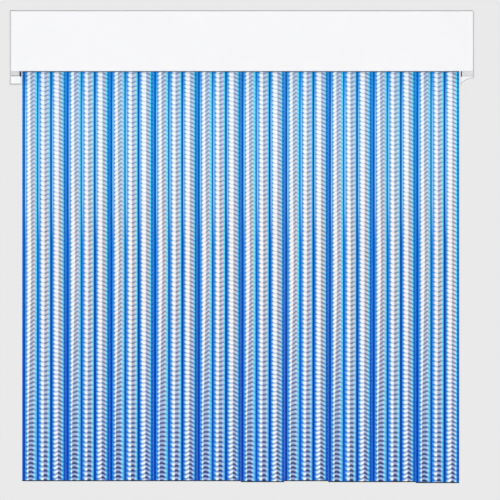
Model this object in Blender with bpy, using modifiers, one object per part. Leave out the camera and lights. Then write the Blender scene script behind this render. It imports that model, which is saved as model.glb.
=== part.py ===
"""PVC door curtain: ten hanging strips on one rod under a boxed pelmet.

Metres, +Z up. +X is to the right as the curtain is seen and the front faces -Y.
The origin lies on the back face of the wall rail, at half the height of the fascia.
"""
import math
from collections import namedtuple

import bmesh
import bpy
from mathutils import Matrix, Vector

# Clearances
FIT_GAP = 0.0003
CUT_OVERRUN = 0.002
JOIN_DEPTH = 0.001
WELD_DISTANCE = 0.00001

# One strip: a left rim, cords with webs between them, and a right rim
STRIP_COUNT = 10
STRIP_SIDE_GAP = 0.001
CORDS_PER_STRIP = 3
CORD_WIDTH = 0.0215
CORD_DEPTH = 0.012
CORD_WALL = 0.0011
WEB_WIDTH = 0.0063
WEB_THICKNESS = 0.0024
LEFT_RIM_WIDTH = 0.00715
RIGHT_RIM_WIDTH = 0.00475
TONGUE_THICKNESS = 0.003
TONGUE_ROOT = 0.004

# The strips' lower ends: how far they hang below the fascia, and how far each is cut long
STRIP_DROP = 0.8437
TRIM_STEP = 0.002
TRIM_STEP_COUNTS = (0, 0, 0, 0, 0, 1, 0, 1, 1, 2)

# Hangers, which turn on the rod
HANGER_SPACING = 0.006
EYE_WALL = 0.0027
HANGER_NECK = 0.0057
CHEEK_WALL = 0.0024
SLOT_DEPTH = 0.012
RIVET_RADIUS = 0.002
RIVET_HEAD_RADIUS = 0.0038
RIVET_HEAD_HEIGHT = 0.0014

# Rod and what sits on it
ROD_RADIUS = 0.004
ROD_RISE = 0.038
SPACER_WALL = 0.0022
COLLAR_WALL = 0.0027
COLLAR_LENGTH = 0.008
BUSH_WALL = 0.0017
BUSH_FLANGE_WIDTH = 0.002
BUSH_FLANGE_THICKNESS = 0.0015

# Head: fascia, margins beside the strips, and the wall rail
FASCIA_HEIGHT = 0.1256
HEAD_DEPTH = 0.110
LEFT_MARGIN = 0.025
RIGHT_MARGIN = 0.030
COVER_WALL = 0.003
COVER_BACK_GAP = 0.002
COVER_BEND_RADIUS = 0.0025
COVER_HEM_DEPTH = 0.008
COVER_HEM_RADIUS = 0.0012
TOP_CORNER_RADIUS = 0.006
RAIL_WALL = 0.003
RAIL_HEIGHT = 0.112
RAIL_FRONT_GAP = 0.011
RAIL_LIP = 0.014
RAIL_BEND_RADIUS = 0.002
WALL_HOLE_RADIUS = 0.00275
WALL_HOLE_DROP = 0.028
WALL_HOLE_SPAN_SHARES = (-0.42, -0.15, 0.15, 0.42)

# End brackets
END_WALL = 0.003
NOTCH_WIDTH = 0.005
LEFT_FOOT_REVEAL = 0.0021
RIGHT_FOOT_REVEAL = 0.0035
RECESS_HEIGHT = 0.0111
RECESS_DEPTH = 0.006
RECESS_WALL_RISE = 0.015
FOOT_HEIGHT = 0.0163
FOOT_TOE = 0.0027
FOOT_POCKET_COUNT = 3
COVE_WIDTH_SHARE = 0.2
COVE_RISE_SHARE = 0.75
BOSS_WALL = 0.0027
BOSS_LENGTH = 0.009
PAD_WALL = 0.003
BRACKET_SCREW_INSET = 0.014
BRACKET_SCREW_DROP = 0.034
BRACKET_SCREW_SPACING = 0.044
BRACKET_EDGE = 0.012

# Rod hooks, screws and cover clips
HOOK_WALL = 0.0034
HOOK_TIP_RISE = 0.005
HOOK_PAD_WIDTH = 0.024
HOOK_SCREW_RISE = 0.016
HOOK_SCREW_SPACING = 0.014
HOOK_PAD_EDGE = 0.0075
HOOK_AFTER_STRIPS = (3, 7)
SCREW_RADIUS = 0.002
SCREW_HEAD_RADIUS = 0.004
SCREW_HEAD_HEIGHT = 0.0024
CLIP_WALL = 0.001
CLIP_WIDTH = 0.024
CLIP_LEAF = 0.026
CLIP_RETURN = 0.004
CLIP_SPAN_SHARES = (-0.36, 0, 0.36)

# How finely round shapes are cut
ROUND_SIDES = 20
SMALL_SIDES = 10
CORNER_STEPS = 4
CORD_STEPS = 8
HOLLOW_SIDES = 12
RIM_STEPS = 4
COVE_STEPS = 8

# Derived sizes
STRIP_WIDTH = (LEFT_RIM_WIDTH + CORDS_PER_STRIP * CORD_WIDTH
               + (CORDS_PER_STRIP - 1) * WEB_WIDTH + RIGHT_RIM_WIDTH)
STRIP_PITCH = STRIP_WIDTH + STRIP_SIDE_GAP
STRIPS_SPAN = STRIP_COUNT * STRIP_PITCH
HEAD_WIDTH = LEFT_MARGIN + STRIPS_SPAN + RIGHT_MARGIN
BORE_RADIUS = ROD_RADIUS + FIT_GAP
EYE_RADIUS = BORE_RADIUS + EYE_WALL
SLOT_HALF = TONGUE_THICKNESS / 2 + FIT_GAP
FORK_HALF = SLOT_HALF + CHEEK_WALL
SLOT_TOP = -(BORE_RADIUS + HANGER_NECK)
FORK_BOTTOM = SLOT_TOP - SLOT_DEPTH
HANGER_LENGTH = STRIP_PITCH - HANGER_SPACING
BETWEEN_HANGERS = HANGER_SPACING - 2 * FIT_GAP
BUSH_RADIUS = BORE_RADIUS + BUSH_WALL
BOSS_BORE_RADIUS = BUSH_RADIUS + FIT_GAP

# Derived places
FASCIA_TOP = FASCIA_HEIGHT / 2
FASCIA_BOTTOM = -FASCIA_HEIGHT / 2
HEAD_LEFT = -HEAD_WIDTH / 2
HEAD_RIGHT = HEAD_WIDTH / 2
STRIPS_LEFT = HEAD_LEFT + LEFT_MARGIN
ROD_Y = -HEAD_DEPTH / 2
ROD_Z = FASCIA_BOTTOM + ROD_RISE
COVER_INSIDE_Y = -HEAD_DEPTH + COVER_WALL
COVER_INSIDE_Z = FASCIA_TOP - COVER_WALL
RAIL_TOP = COVER_INSIDE_Z - FIT_GAP - CLIP_WALL - FIT_GAP
RAIL_DEPTH = HEAD_DEPTH - COVER_WALL - RAIL_FRONT_GAP
PAD_BACK = -(RAIL_WALL + FIT_GAP)
PAD_FRONT = PAD_BACK - PAD_WALL
FOOT_TOP = FASCIA_BOTTOM - RECESS_HEIGHT
FOOT_BOTTOM = FOOT_TOP - FOOT_HEIGHT
FOOT_TOE_Z = FOOT_TOP - FOOT_TOE
RAIL_LENGTH = HEAD_WIDTH - 2 * (END_WALL + FIT_GAP)
BRACKET_SCREW_TOP = RAIL_TOP - BRACKET_SCREW_DROP
HOOK_SCREW_TOP = ROD_Z + HOOK_SCREW_RISE + HOOK_SCREW_SPACING

# The two ends of the head, and where the rod hooks hang
End = namedtuple("End", "name side margin foot_width swept")
LEFT_END = End("left", -1, LEFT_MARGIN, LEFT_MARGIN - LEFT_FOOT_REVEAL, False)
RIGHT_END = End("right", 1, RIGHT_MARGIN, RIGHT_MARGIN - RIGHT_FOOT_REVEAL, True)
HOOK_NAMES = ("rod_hook_left", "rod_hook_right")

# Surfaces: colour, roughness, metallic
SURFACES = {
    "white_pvc": ((0.92, 0.93, 0.94, 1), 0.35, 0),
    "blue_strip_pvc": ((0.22, 0.47, 0.80, 1), 0.30, 0),
    "grey_nylon": ((0.55, 0.56, 0.58, 1), 0.5, 0),
    "rail_aluminium": ((0.74, 0.75, 0.77, 1), 0.4, 1),
    "rod_steel": ((0.66, 0.67, 0.69, 1), 0.3, 1),
    "zinc_steel": ((0.60, 0.61, 0.64, 1), 0.45, 1),
}

# Axis changes from an outline's own plane to the model
OUTLINE_ALONG_X = Matrix(((0, 0, 1, 0), (1, 0, 0, 0), (0, 1, 0, 0), (0, 0, 0, 1)))
OUTLINE_ALONG_Y = Matrix(((1, 0, 0, 0), (0, 0, -1, 0), (0, 1, 0, 0), (0, 0, 0, 1)))
OUTLINE_ALONG_Z = Matrix.Identity(4)
TURNED_TO_FRONT = (math.pi / 2, 0, 0)
TURNED_TO_RIGHT = (0, math.pi / 2, 0)
TURNED_TO_LEFT = (0, -math.pi / 2, 0)
SMOOTH_ANGLE = math.radians(32)


def clear_scene():
    """Remove the objects and collections of a fresh file."""
    for leftover in list(bpy.data.objects):
        bpy.data.objects.remove(leftover, do_unlink=True)
    for leftover in list(bpy.data.collections):
        bpy.data.collections.remove(leftover)


def new_collection(name):
    collection = bpy.data.collections.new(name)
    bpy.context.scene.collection.children.link(collection)
    return collection


def new_material(name, colour, roughness, metallic):
    material = bpy.data.materials.new(name)
    material.use_nodes = True
    shader = material.node_tree.nodes["Principled BSDF"]
    shader.inputs["Base Color"].default_value = colour
    shader.inputs["Roughness"].default_value = roughness
    shader.inputs["Metallic"].default_value = metallic
    material.diffuse_color = colour
    return material


def strip_edge_x(strips):
    """X of the boundary after that many strips, counted from the left."""
    return STRIPS_LEFT + strips * STRIP_PITCH


def end_x(end, inward):
    """X at a distance inward from the outer face of one end of the head."""
    return end.side * (HEAD_WIDTH / 2 - inward)


def screw_places():
    """Each screw that goes into the rail: the piece that it holds, its number, X and Z."""
    places = []
    for end in (LEFT_END, RIGHT_END):
        x = end_x(end, BRACKET_SCREW_INSET)
        places.append((f"end_bracket_{end.name}", 1, x, BRACKET_SCREW_TOP))
        places.append((f"end_bracket_{end.name}", 2, x, BRACKET_SCREW_TOP - BRACKET_SCREW_SPACING))
    for name, strips in zip(HOOK_NAMES, HOOK_AFTER_STRIPS):
        x = strip_edge_x(strips)
        places.append((name, 1, x, HOOK_SCREW_TOP))
        places.append((name, 2, x, HOOK_SCREW_TOP - HOOK_SCREW_SPACING))
    return places


clear_scene()
PARTS = new_collection("pvc_door_curtain")
CUTTERS = new_collection("cutters")
MATERIALS = {name: new_material(name, *look) for name, look in SURFACES.items()}


def place_part(name, mesh, surface, location=(0, 0, 0), parent=None):
    """Put a finished mesh in the model as the sub-part of that name."""
    part = bpy.data.objects.new(name, mesh)
    PARTS.objects.link(part)
    part.parent = parent
    part.location = location
    if not mesh.materials:
        mesh.materials.append(MATERIALS[surface])
    return part


def place_cutter(name, mesh, location=(0, 0, 0), parent=None):
    """Put a mesh among the shapes that only cut or join others."""
    cutter = bpy.data.objects.new(name, mesh)
    CUTTERS.objects.link(cutter)
    cutter.parent = parent
    cutter.location = location
    cutter.hide_render = True
    cutter.display_type = "WIRE"
    return cutter


def combine(part, tool, operation):
    """Cut the tool out of a part, or join it on."""
    modifier = part.modifiers.new(f"{operation.lower()} {tool.name}", "BOOLEAN")
    modifier.operation = operation
    modifier.solver = "EXACT"
    modifier.object = tool


def box_mesh(name, low, high):
    """A box between its lowest and its highest corner."""
    low = Vector(low)
    high = Vector(high)
    size = high - low
    work = bmesh.new()
    bmesh.ops.create_cube(work, size=1)
    bmesh.ops.scale(work, vec=size, verts=work.verts)
    bmesh.ops.translate(work, vec=(low + high) / 2, verts=work.verts)
    mesh = bpy.data.meshes.new(name)
    work.to_mesh(mesh)
    work.free()
    return mesh


def smooth_rounds(mesh):
    """Shade a mesh smooth, with its corners kept sharp."""
    mesh.shade_smooth()
    mesh.set_sharp_from_angle(angle=SMOOTH_ANGLE)


def cylinder_mesh(name, radius, length, sides, turn):
    """A round bar centred on its own origin, turned to lie along another axis."""
    work = bmesh.new()
    bmesh.ops.create_cone(work, cap_ends=True, segments=sides,
                          radius1=radius, radius2=radius, depth=length)
    bmesh.ops.rotate(work, matrix=Matrix.Rotation(turn[0], 3, "X"), verts=work.verts)
    bmesh.ops.rotate(work, matrix=Matrix.Rotation(turn[1], 3, "Y"), verts=work.verts)
    mesh = bpy.data.meshes.new(name)
    work.to_mesh(mesh)
    work.free()
    smooth_rounds(mesh)
    return mesh


def outline_mesh(name, outlines, length, turn):
    """A flat outline, with its holes, drawn out to a length that is centred on it."""
    curve = bpy.data.curves.new(name, "CURVE")
    curve.dimensions = "2D"
    curve.fill_mode = "BOTH"
    curve.extrude = length / 2
    for outline in outlines:
        spline = curve.splines.new("POLY")
        spline.points.add(len(outline) - 1)
        spline.use_cyclic_u = True
        for point, place in zip(spline.points, outline):
            point.co = (place[0], place[1], 0, 1)
    drawing = bpy.data.objects.new(name, curve)
    CUTTERS.objects.link(drawing)
    bpy.context.view_layer.update()
    shape = drawing.evaluated_get(bpy.context.evaluated_depsgraph_get())
    mesh = bpy.data.meshes.new_from_object(shape)
    bpy.data.objects.remove(drawing)
    work = bmesh.new()
    work.from_mesh(mesh)
    bmesh.ops.remove_doubles(work, verts=work.verts, dist=WELD_DISTANCE)
    bmesh.ops.recalc_face_normals(work, faces=work.faces)
    bmesh.ops.transform(work, matrix=turn, verts=work.verts)
    work.to_mesh(mesh)
    work.free()
    mesh.shade_flat()
    return mesh


def turned_mesh(name, profile, closed):
    """The half section of a turned piece, as (radius, height) points run down its outer side."""
    work = bmesh.new()
    points = [work.verts.new((radius, 0, height)) for radius, height in profile]
    for before, after in zip(points, points[1:]):
        work.edges.new((before, after))
    if closed:
        work.edges.new((points[-1], points[0]))
    mesh = bpy.data.meshes.new(name)
    work.to_mesh(mesh)
    work.free()
    return mesh


def turn_part(part, steps, rotation):
    """Spin a half section round its own height, and lay the piece along its axis."""
    screw = part.modifiers.new("turn", "SCREW")
    screw.steps = steps
    screw.render_steps = steps
    screw.use_merge_vertices = True
    screw.merge_threshold = WELD_DISTANCE
    screw.use_smooth_shade = True
    part.rotation_euler = rotation


def arc_points(centre, radii, start, end, steps):
    """Points along an elliptic arc, both ends included."""
    points = []
    for step in range(steps + 1):
        angle = start + (end - start) * step / steps
        points.append((centre[0] + radii[0] * math.cos(angle), centre[1] + radii[1] * math.sin(angle)))
    return points


def ring_points(centre, radii, sides):
    """A closed ellipse or circle."""
    return arc_points(centre, radii, 0, math.tau, sides)[:-1]


def rounded_points(corners):
    """An outline through (u, v, radius) corners, with an arc at each corner that has a radius."""
    outline = []
    for index, (across, up, radius) in enumerate(corners):
        corner = Vector((across, up))
        if radius == 0:
            outline.append(corner)
            continue
        to_last = (Vector(corners[index - 1][:2]) - corner).normalized()
        to_next = (Vector(corners[(index + 1) % len(corners)][:2]) - corner).normalized()
        half_angle = to_last.angle(to_next) / 2
        centre = corner + (to_last + to_next).normalized() * radius / math.sin(half_angle)
        first = corner + to_last * radius / math.tan(half_angle) - centre
        last = corner + to_next * radius / math.tan(half_angle) - centre
        start = math.atan2(first.y, first.x)
        sweep = math.atan2(first.cross(last), first.dot(last))
        outline += arc_points(centre, (radius, radius), start, start + sweep, CORNER_STEPS)
    return outline


def fascia_cover(corner_cutter):
    """Front, top return and bottom hem of the pelmet in one bent sheet."""
    back = -COVER_BACK_GAP
    hem_y = COVER_INSIDE_Y + COVER_HEM_DEPTH
    hem_z = FASCIA_BOTTOM + COVER_WALL
    section = rounded_points((
        (-HEAD_DEPTH, FASCIA_BOTTOM, COVER_HEM_RADIUS),
        (-HEAD_DEPTH, FASCIA_TOP, COVER_BEND_RADIUS),
        (back, FASCIA_TOP, 0),
        (back, COVER_INSIDE_Z, 0),
        (COVER_INSIDE_Y, COVER_INSIDE_Z, 0),
        (COVER_INSIDE_Y, hem_z, 0),
        (hem_y, hem_z, 0),
        (hem_y, FASCIA_BOTTOM, 0),
    ))
    mesh = outline_mesh("front_cover", [section], HEAD_WIDTH, OUTLINE_ALONG_X)
    cover = place_part("front_cover", mesh, "white_pvc")
    combine(cover, corner_cutter, "DIFFERENCE")
    for end in (LEFT_END, RIGHT_END):
        hem_end = end_box(f"hem_end_{end.name}", end, (-CUT_OVERRUN, end.foot_width),
                          (COVER_INSIDE_Y, hem_y + CUT_OVERRUN),
                          (FASCIA_BOTTOM - CUT_OVERRUN, hem_z + CUT_OVERRUN))
        combine(cover, hem_end, "DIFFERENCE")


def top_corner_cutter():
    """What the rounded corner at the right end of the fascia's top edge leaves out."""
    middle = (HEAD_RIGHT - TOP_CORNER_RADIUS, FASCIA_TOP - TOP_CORNER_RADIUS)
    beyond = (HEAD_RIGHT + CUT_OVERRUN, FASCIA_TOP + CUT_OVERRUN)
    radii = (TOP_CORNER_RADIUS, TOP_CORNER_RADIUS)
    arc = arc_points(middle, radii, 0, math.pi / 2, 2 * CORNER_STEPS)
    outline = arc + [(middle[0], beyond[1]), beyond, (beyond[0], middle[1])]
    length = HEAD_DEPTH + 2 * CUT_OVERRUN
    mesh = outline_mesh("top_corner_cut", [outline], length, OUTLINE_ALONG_Y)
    return place_cutter("top_corner_cut", mesh, (0, -HEAD_DEPTH / 2, 0))


def end_box(name, end, inward, depth, height):
    """A box among the cutters, between two distances inward from one end of the head."""
    low_x, high_x = sorted((end_x(end, inward[0]), end_x(end, inward[1])))
    mesh = box_mesh(name, (low_x, depth[0], height[0]), (high_x, depth[1], height[1]))
    return place_cutter(name, mesh)


def wall_rail():
    """Back plate, top flange and front lip of the rail that is screwed to the wall."""
    bottom = RAIL_TOP - RAIL_HEIGHT
    lip_bottom = RAIL_TOP - RAIL_LIP
    section = rounded_points((
        (0, bottom, 0),
        (0, RAIL_TOP, RAIL_BEND_RADIUS),
        (-RAIL_DEPTH, RAIL_TOP, RAIL_BEND_RADIUS),
        (-RAIL_DEPTH, lip_bottom, 0),
        (-RAIL_DEPTH + RAIL_WALL, lip_bottom, 0),
        (-RAIL_DEPTH + RAIL_WALL, RAIL_TOP - RAIL_WALL, 0),
        (-RAIL_WALL, RAIL_TOP - RAIL_WALL, 0),
        (-RAIL_WALL, bottom, 0),
    ))
    mesh = outline_mesh("wall_rail", [section], RAIL_LENGTH, OUTLINE_ALONG_X)
    rail = place_part("wall_rail", mesh, "rail_aluminium")
    middle_y = -RAIL_WALL / 2
    for index, share in enumerate(WALL_HOLE_SPAN_SHARES):
        centre = (share * RAIL_LENGTH, middle_y, RAIL_TOP - WALL_HOLE_DROP)
        hole = front_hole(f"wall_hole_{index + 1}", WALL_HOLE_RADIUS, centre, RAIL_WALL)
        combine(rail, hole, "DIFFERENCE")
    for holder, number, x, z in screw_places():
        hole_name = f"{holder}_rail_hole_{number}"
        hole = front_hole(hole_name, SCREW_RADIUS + FIT_GAP, (x, middle_y, z), RAIL_WALL)
        combine(rail, hole, "DIFFERENCE")


def front_hole(name, radius, centre, wall, parent=None):
    """A round cutter that runs front to back through a wall of the given thickness."""
    mesh = cylinder_mesh(name, radius, wall + 2 * CUT_OVERRUN, SMALL_SIDES, TURNED_TO_FRONT)
    return place_cutter(name, mesh, centre, parent)


def cut_screw_holes(part):
    """Cut the clearance holes of a piece that is screwed to the rail."""
    for holder, number, x, z in screw_places():
        if holder == part.name:
            centre = (x, (PAD_FRONT + PAD_BACK) / 2, z)
            hole = front_hole(f"{holder}_hole_{number}", SCREW_RADIUS + FIT_GAP, centre, PAD_WALL)
            combine(part, hole, "DIFFERENCE")


def end_bracket(end):
    """Moulded end of the head: side wall, foot, recessed front, screw wall and rod boss."""
    name = f"end_bracket_{end.name}"
    wall_bottom = FOOT_TOE_Z if end.swept else FOOT_BOTTOM
    wall_top = COVER_INSIDE_Z - FIT_GAP
    behind_cover = COVER_INSIDE_Y + FIT_GAP
    below_cover = FASCIA_BOTTOM - FIT_GAP
    section = [(0, wall_top), (behind_cover, wall_top), (behind_cover, below_cover),
               (-HEAD_DEPTH, below_cover), (-HEAD_DEPTH, wall_bottom), (0, wall_bottom)]
    mesh = outline_mesh(name, [section], END_WALL, OUTLINE_ALONG_X)
    bracket = place_part(name, mesh, "white_pvc", (end_x(end, END_WALL / 2), 0, 0))
    recess_y = -HEAD_DEPTH + RECESS_DEPTH
    from_wall = END_WALL - JOIN_DEPTH
    into_foot = FOOT_TOP - JOIN_DEPTH
    joined = [
        foot_block(end),
        end_box(f"recess_wall_{end.name}", end, (from_wall, end.margin - NOTCH_WIDTH),
                (recess_y, recess_y + END_WALL), (into_foot, FASCIA_BOTTOM + RECESS_WALL_RISE)),
        end_box(f"screw_wall_{end.name}", end, (from_wall, end.foot_width),
                (PAD_FRONT, PAD_BACK), (into_foot, BRACKET_SCREW_TOP + BRACKET_EDGE)),
        rod_line_bar(f"boss_{end.name}", end, BOSS_BORE_RADIUS + BOSS_WALL,
                     (from_wall, END_WALL + BOSS_LENGTH)),
    ]
    for tool in joined:
        combine(bracket, tool, "UNION")
    bore_reach = (END_WALL, END_WALL + BOSS_LENGTH + CUT_OVERRUN)
    combine(bracket, rod_line_bar(f"bore_{end.name}", end, BOSS_BORE_RADIUS, bore_reach), "DIFFERENCE")
    cut_screw_holes(bracket)
    return bracket


def rod_line_bar(name, end, radius, inward):
    """A round bar on the rod's axis, between two distances inward from one end of the head."""
    mesh = cylinder_mesh(name, radius, inward[1] - inward[0], ROUND_SIDES, TURNED_TO_RIGHT)
    return place_cutter(name, mesh, (end_x(end, (inward[0] + inward[1]) / 2), ROD_Y, ROD_Z))


def foot_block(end):
    """The foot below the fascia: square, or swept up in a cove to the outer face."""
    inner = end_x(end, end.foot_width)
    outer = end_x(end, END_WALL - JOIN_DEPTH)
    lower_edge = [(inner, FOOT_BOTTOM), (outer, FOOT_BOTTOM)]
    if end.swept:
        outer = end_x(end, 0)
        pull = (inner + (outer - inner) * COVE_WIDTH_SHARE,
                FOOT_BOTTOM + (FOOT_TOE_Z - FOOT_BOTTOM) * COVE_RISE_SHARE)
        lower_edge = curve_points((inner, FOOT_BOTTOM), pull, (outer, FOOT_TOE_Z), COVE_STEPS)
    outline = [(outer, FOOT_TOP), (inner, FOOT_TOP)] + lower_edge
    mesh = outline_mesh(f"foot_{end.name}", [outline], HEAD_DEPTH, OUTLINE_ALONG_Y)
    return place_cutter(f"foot_{end.name}", mesh, (0, -HEAD_DEPTH / 2, 0))


def curve_points(start, pull, finish, steps):
    """A smooth curve from start to finish that leans towards one point."""
    points = []
    for step in range(steps + 1):
        share = step / steps
        first = Vector(start).lerp(Vector(pull), share)
        last = Vector(pull).lerp(Vector(finish), share)
        points.append(first.lerp(last, share))
    return points


def cut_foot_pockets(bracket, end):
    """Hollow a square foot from above, with ribs left between the pockets."""
    walls = (FOOT_POCKET_COUNT + 1) * END_WALL
    pocket_depth = (HEAD_DEPTH - walls) / FOOT_POCKET_COUNT
    for index in range(FOOT_POCKET_COUNT):
        near = -HEAD_DEPTH + END_WALL + index * (pocket_depth + END_WALL)
        pocket = end_box(f"foot_pocket_{index + 1}", end, (END_WALL, end.foot_width - END_WALL),
                         (near, near + pocket_depth),
                         (FOOT_BOTTOM + END_WALL, FOOT_TOP + CUT_OVERRUN))
        combine(bracket, pocket, "DIFFERENCE")


def swing_rod():
    """The round rod that every strip hangs from."""
    mesh = cylinder_mesh("swing_rod", ROD_RADIUS, RAIL_LENGTH, ROUND_SIDES, TURNED_TO_RIGHT)
    place_part("swing_rod", mesh, "rod_steel", (0, ROD_Y, ROD_Z))


def rod_ring(name, x, wall, length):
    """A plain ring on the rod."""
    outer = BORE_RADIUS + wall
    half = length / 2
    profile = ((outer, half), (outer, -half), (BORE_RADIUS, -half), (BORE_RADIUS, half))
    ring = place_part(name, turned_mesh(name, profile, True), "grey_nylon", (x, ROD_Y, ROD_Z))
    turn_part(ring, ROUND_SIDES, TURNED_TO_RIGHT)


def rod_bush(end):
    """Flanged sleeve that holds the rod's end in the boss of a bracket."""
    name = f"rod_bush_{end.name}"
    flange_radius = BUSH_RADIUS + BUSH_FLANGE_WIDTH
    profile = ((BUSH_RADIUS, BOSS_LENGTH), (BUSH_RADIUS, 0), (flange_radius, 0),
               (flange_radius, -BUSH_FLANGE_THICKNESS), (BORE_RADIUS, -BUSH_FLANGE_THICKNESS),
               (BORE_RADIUS, BOSS_LENGTH))
    x = end_x(end, END_WALL + BOSS_LENGTH + FIT_GAP)
    bush = place_part(name, turned_mesh(name, profile, True), "grey_nylon", (x, ROD_Y, ROD_Z))
    turn_part(bush, ROUND_SIDES, TURNED_TO_RIGHT if end.side > 0 else TURNED_TO_LEFT)


def rod_hook(name, x):
    """Cradle between two strips that carries the rod from the rail's back plate."""
    cradle = BORE_RADIUS + HOOK_WALL
    pad_back = PAD_BACK - ROD_Y
    into_pad = pad_back - JOIN_DEPTH
    outline = [(into_pad, HOOK_TIP_RISE), (BORE_RADIUS, HOOK_TIP_RISE)]
    outline += arc_points((0, 0), (BORE_RADIUS, BORE_RADIUS), 0, -math.pi, ROUND_SIDES // 2)
    outline += [(-BORE_RADIUS, HOOK_TIP_RISE), (-cradle, HOOK_TIP_RISE)]
    outline += arc_points((0, 0), (cradle, cradle), math.pi, 3 * math.pi / 2, ROUND_SIDES // 4)
    outline += [(into_pad, -cradle)]
    mesh = outline_mesh(name, [outline], BETWEEN_HANGERS, OUTLINE_ALONG_X)
    hook = place_part(name, mesh, "zinc_steel", (x, ROD_Y, ROD_Z))
    pad_top = HOOK_SCREW_TOP - ROD_Z + HOOK_PAD_EDGE
    pad_mesh = box_mesh(f"{name}_pad", (-HOOK_PAD_WIDTH / 2, PAD_FRONT - ROD_Y, -cradle),
                        (HOOK_PAD_WIDTH / 2, pad_back, pad_top))
    combine(hook, place_cutter(f"{name}_pad", pad_mesh, (x, ROD_Y, ROD_Z)), "UNION")
    cut_screw_holes(hook)


def rail_screws():
    """Domed screws through the pads and the rail's back plate, short of the wall."""
    seat_y = PAD_FRONT - FIT_GAP
    reach = -seat_y - FIT_GAP
    bevel = SCREW_RADIUS / 2
    profile = ((0, SCREW_HEAD_HEIGHT), (SCREW_HEAD_RADIUS / 2, SCREW_HEAD_HEIGHT),
               (SCREW_HEAD_RADIUS, SCREW_HEAD_HEIGHT / 2), (SCREW_HEAD_RADIUS, 0),
               (SCREW_RADIUS, 0), (SCREW_RADIUS, -reach + bevel),
               (SCREW_RADIUS - bevel, -reach), (0, -reach))
    mesh = turned_mesh("rail_screw", profile, False)
    for holder, number, x, z in screw_places():
        screw = place_part(f"{holder}_screw_{number}", mesh, "zinc_steel", (x, seat_y, z))
        turn_part(screw, SMALL_SIDES, TURNED_TO_FRONT)


def cover_clip(name, x):
    """Sheet clip hooked round the rail's lip; the cover's top return slides over its leaf."""
    front = -RAIL_DEPTH - FIT_GAP
    behind = -RAIL_DEPTH + RAIL_WALL + FIT_GAP
    leaf_back = -RAIL_DEPTH + CLIP_LEAF
    leaf_z = RAIL_TOP + FIT_GAP
    under = RAIL_TOP - RAIL_LIP - FIT_GAP
    section = [(leaf_back, leaf_z + CLIP_WALL), (front - CLIP_WALL, leaf_z + CLIP_WALL),
               (front - CLIP_WALL, under - CLIP_WALL), (behind + CLIP_WALL, under - CLIP_WALL),
               (behind + CLIP_WALL, under + CLIP_RETURN), (behind, under + CLIP_RETURN),
               (behind, under), (front, under), (front, leaf_z), (leaf_back, leaf_z)]
    mesh = outline_mesh(name, [section], CLIP_WIDTH, OUTLINE_ALONG_X)
    place_part(name, mesh, "zinc_steel", (x, 0, 0))


def hanger_outline():
    """Section of a hanger round the rod's axis: an eye on top of a two-cheeked fork."""
    side_angle = math.acos(FORK_HALF / EYE_RADIUS)
    radii = (EYE_RADIUS, EYE_RADIUS)
    eye = arc_points((0, 0), radii, -side_angle, math.pi + side_angle, ROUND_SIDES)
    fork = [(-FORK_HALF, FORK_BOTTOM), (-SLOT_HALF, FORK_BOTTOM), (-SLOT_HALF, SLOT_TOP),
            (SLOT_HALF, SLOT_TOP), (SLOT_HALF, FORK_BOTTOM), (FORK_HALF, FORK_BOTTOM)]
    return eye + fork


def cord_centres():
    """Where the cords of a strip lie across it, from the strip's middle."""
    first = -STRIP_WIDTH / 2 + LEFT_RIM_WIDTH + CORD_WIDTH / 2
    return [first + index * (CORD_WIDTH + WEB_WIDTH) for index in range(CORDS_PER_STRIP)]


def strip_outline():
    """Section of a strip: cords joined by webs, with a flat rim at each side."""
    half_web = WEB_THICKNESS / 2
    radii = (CORD_WIDTH / 2, CORD_DEPTH / 2)
    meeting = math.asin(half_web / radii[1])
    front = []
    for centre in cord_centres():
        front += arc_points((centre, 0), radii, math.pi - meeting, meeting, CORD_STEPS)
    back = [(across, -depth) for across, depth in reversed(front)]
    rim = STRIP_WIDTH / 2 - half_web
    round_end = (half_web, half_web)
    right = arc_points((rim, 0), round_end, math.pi / 2, -math.pi / 2, RIM_STEPS)
    left = arc_points((-rim, 0), round_end, -math.pi / 2, -3 * math.pi / 2, RIM_STEPS)
    return front + right + back + left


def strip_hollows():
    """Section of the bores that run through the cords."""
    radii = (CORD_WIDTH / 2 - CORD_WALL, CORD_DEPTH / 2 - CORD_WALL)
    return [ring_points((centre, 0), radii, HOLLOW_SIDES) for centre in cord_centres()]


def rivet_section():
    """Half section of a rivet with a domed head on each face of the fork."""
    seat = FORK_HALF + FIT_GAP
    crown = seat + RIVET_HEAD_HEIGHT
    edge = seat + RIVET_HEAD_HEIGHT / 3
    front = [(0, crown), (RIVET_RADIUS, crown), (RIVET_HEAD_RADIUS, edge),
             (RIVET_HEAD_RADIUS, seat), (RIVET_RADIUS, seat)]
    back = [(radius, -height) for radius, height in reversed(front)]
    return turned_mesh("rivet_section", front + back, False)


def hanger(label, pivot, rivet_hole):
    """Extruded hanger that turns on the rod and grips the top of a strip."""
    bore = ring_points((0, 0), (BORE_RADIUS, BORE_RADIUS), ROUND_SIDES)
    outlines = [hanger_outline(), bore]
    mesh = outline_mesh(f"hanger_{label}", outlines, HANGER_LENGTH, OUTLINE_ALONG_X)
    part = place_part(f"hanger_{label}", mesh, "rail_aluminium", (0, 0, 0), pivot)
    combine(part, rivet_hole, "DIFFERENCE")


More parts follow.
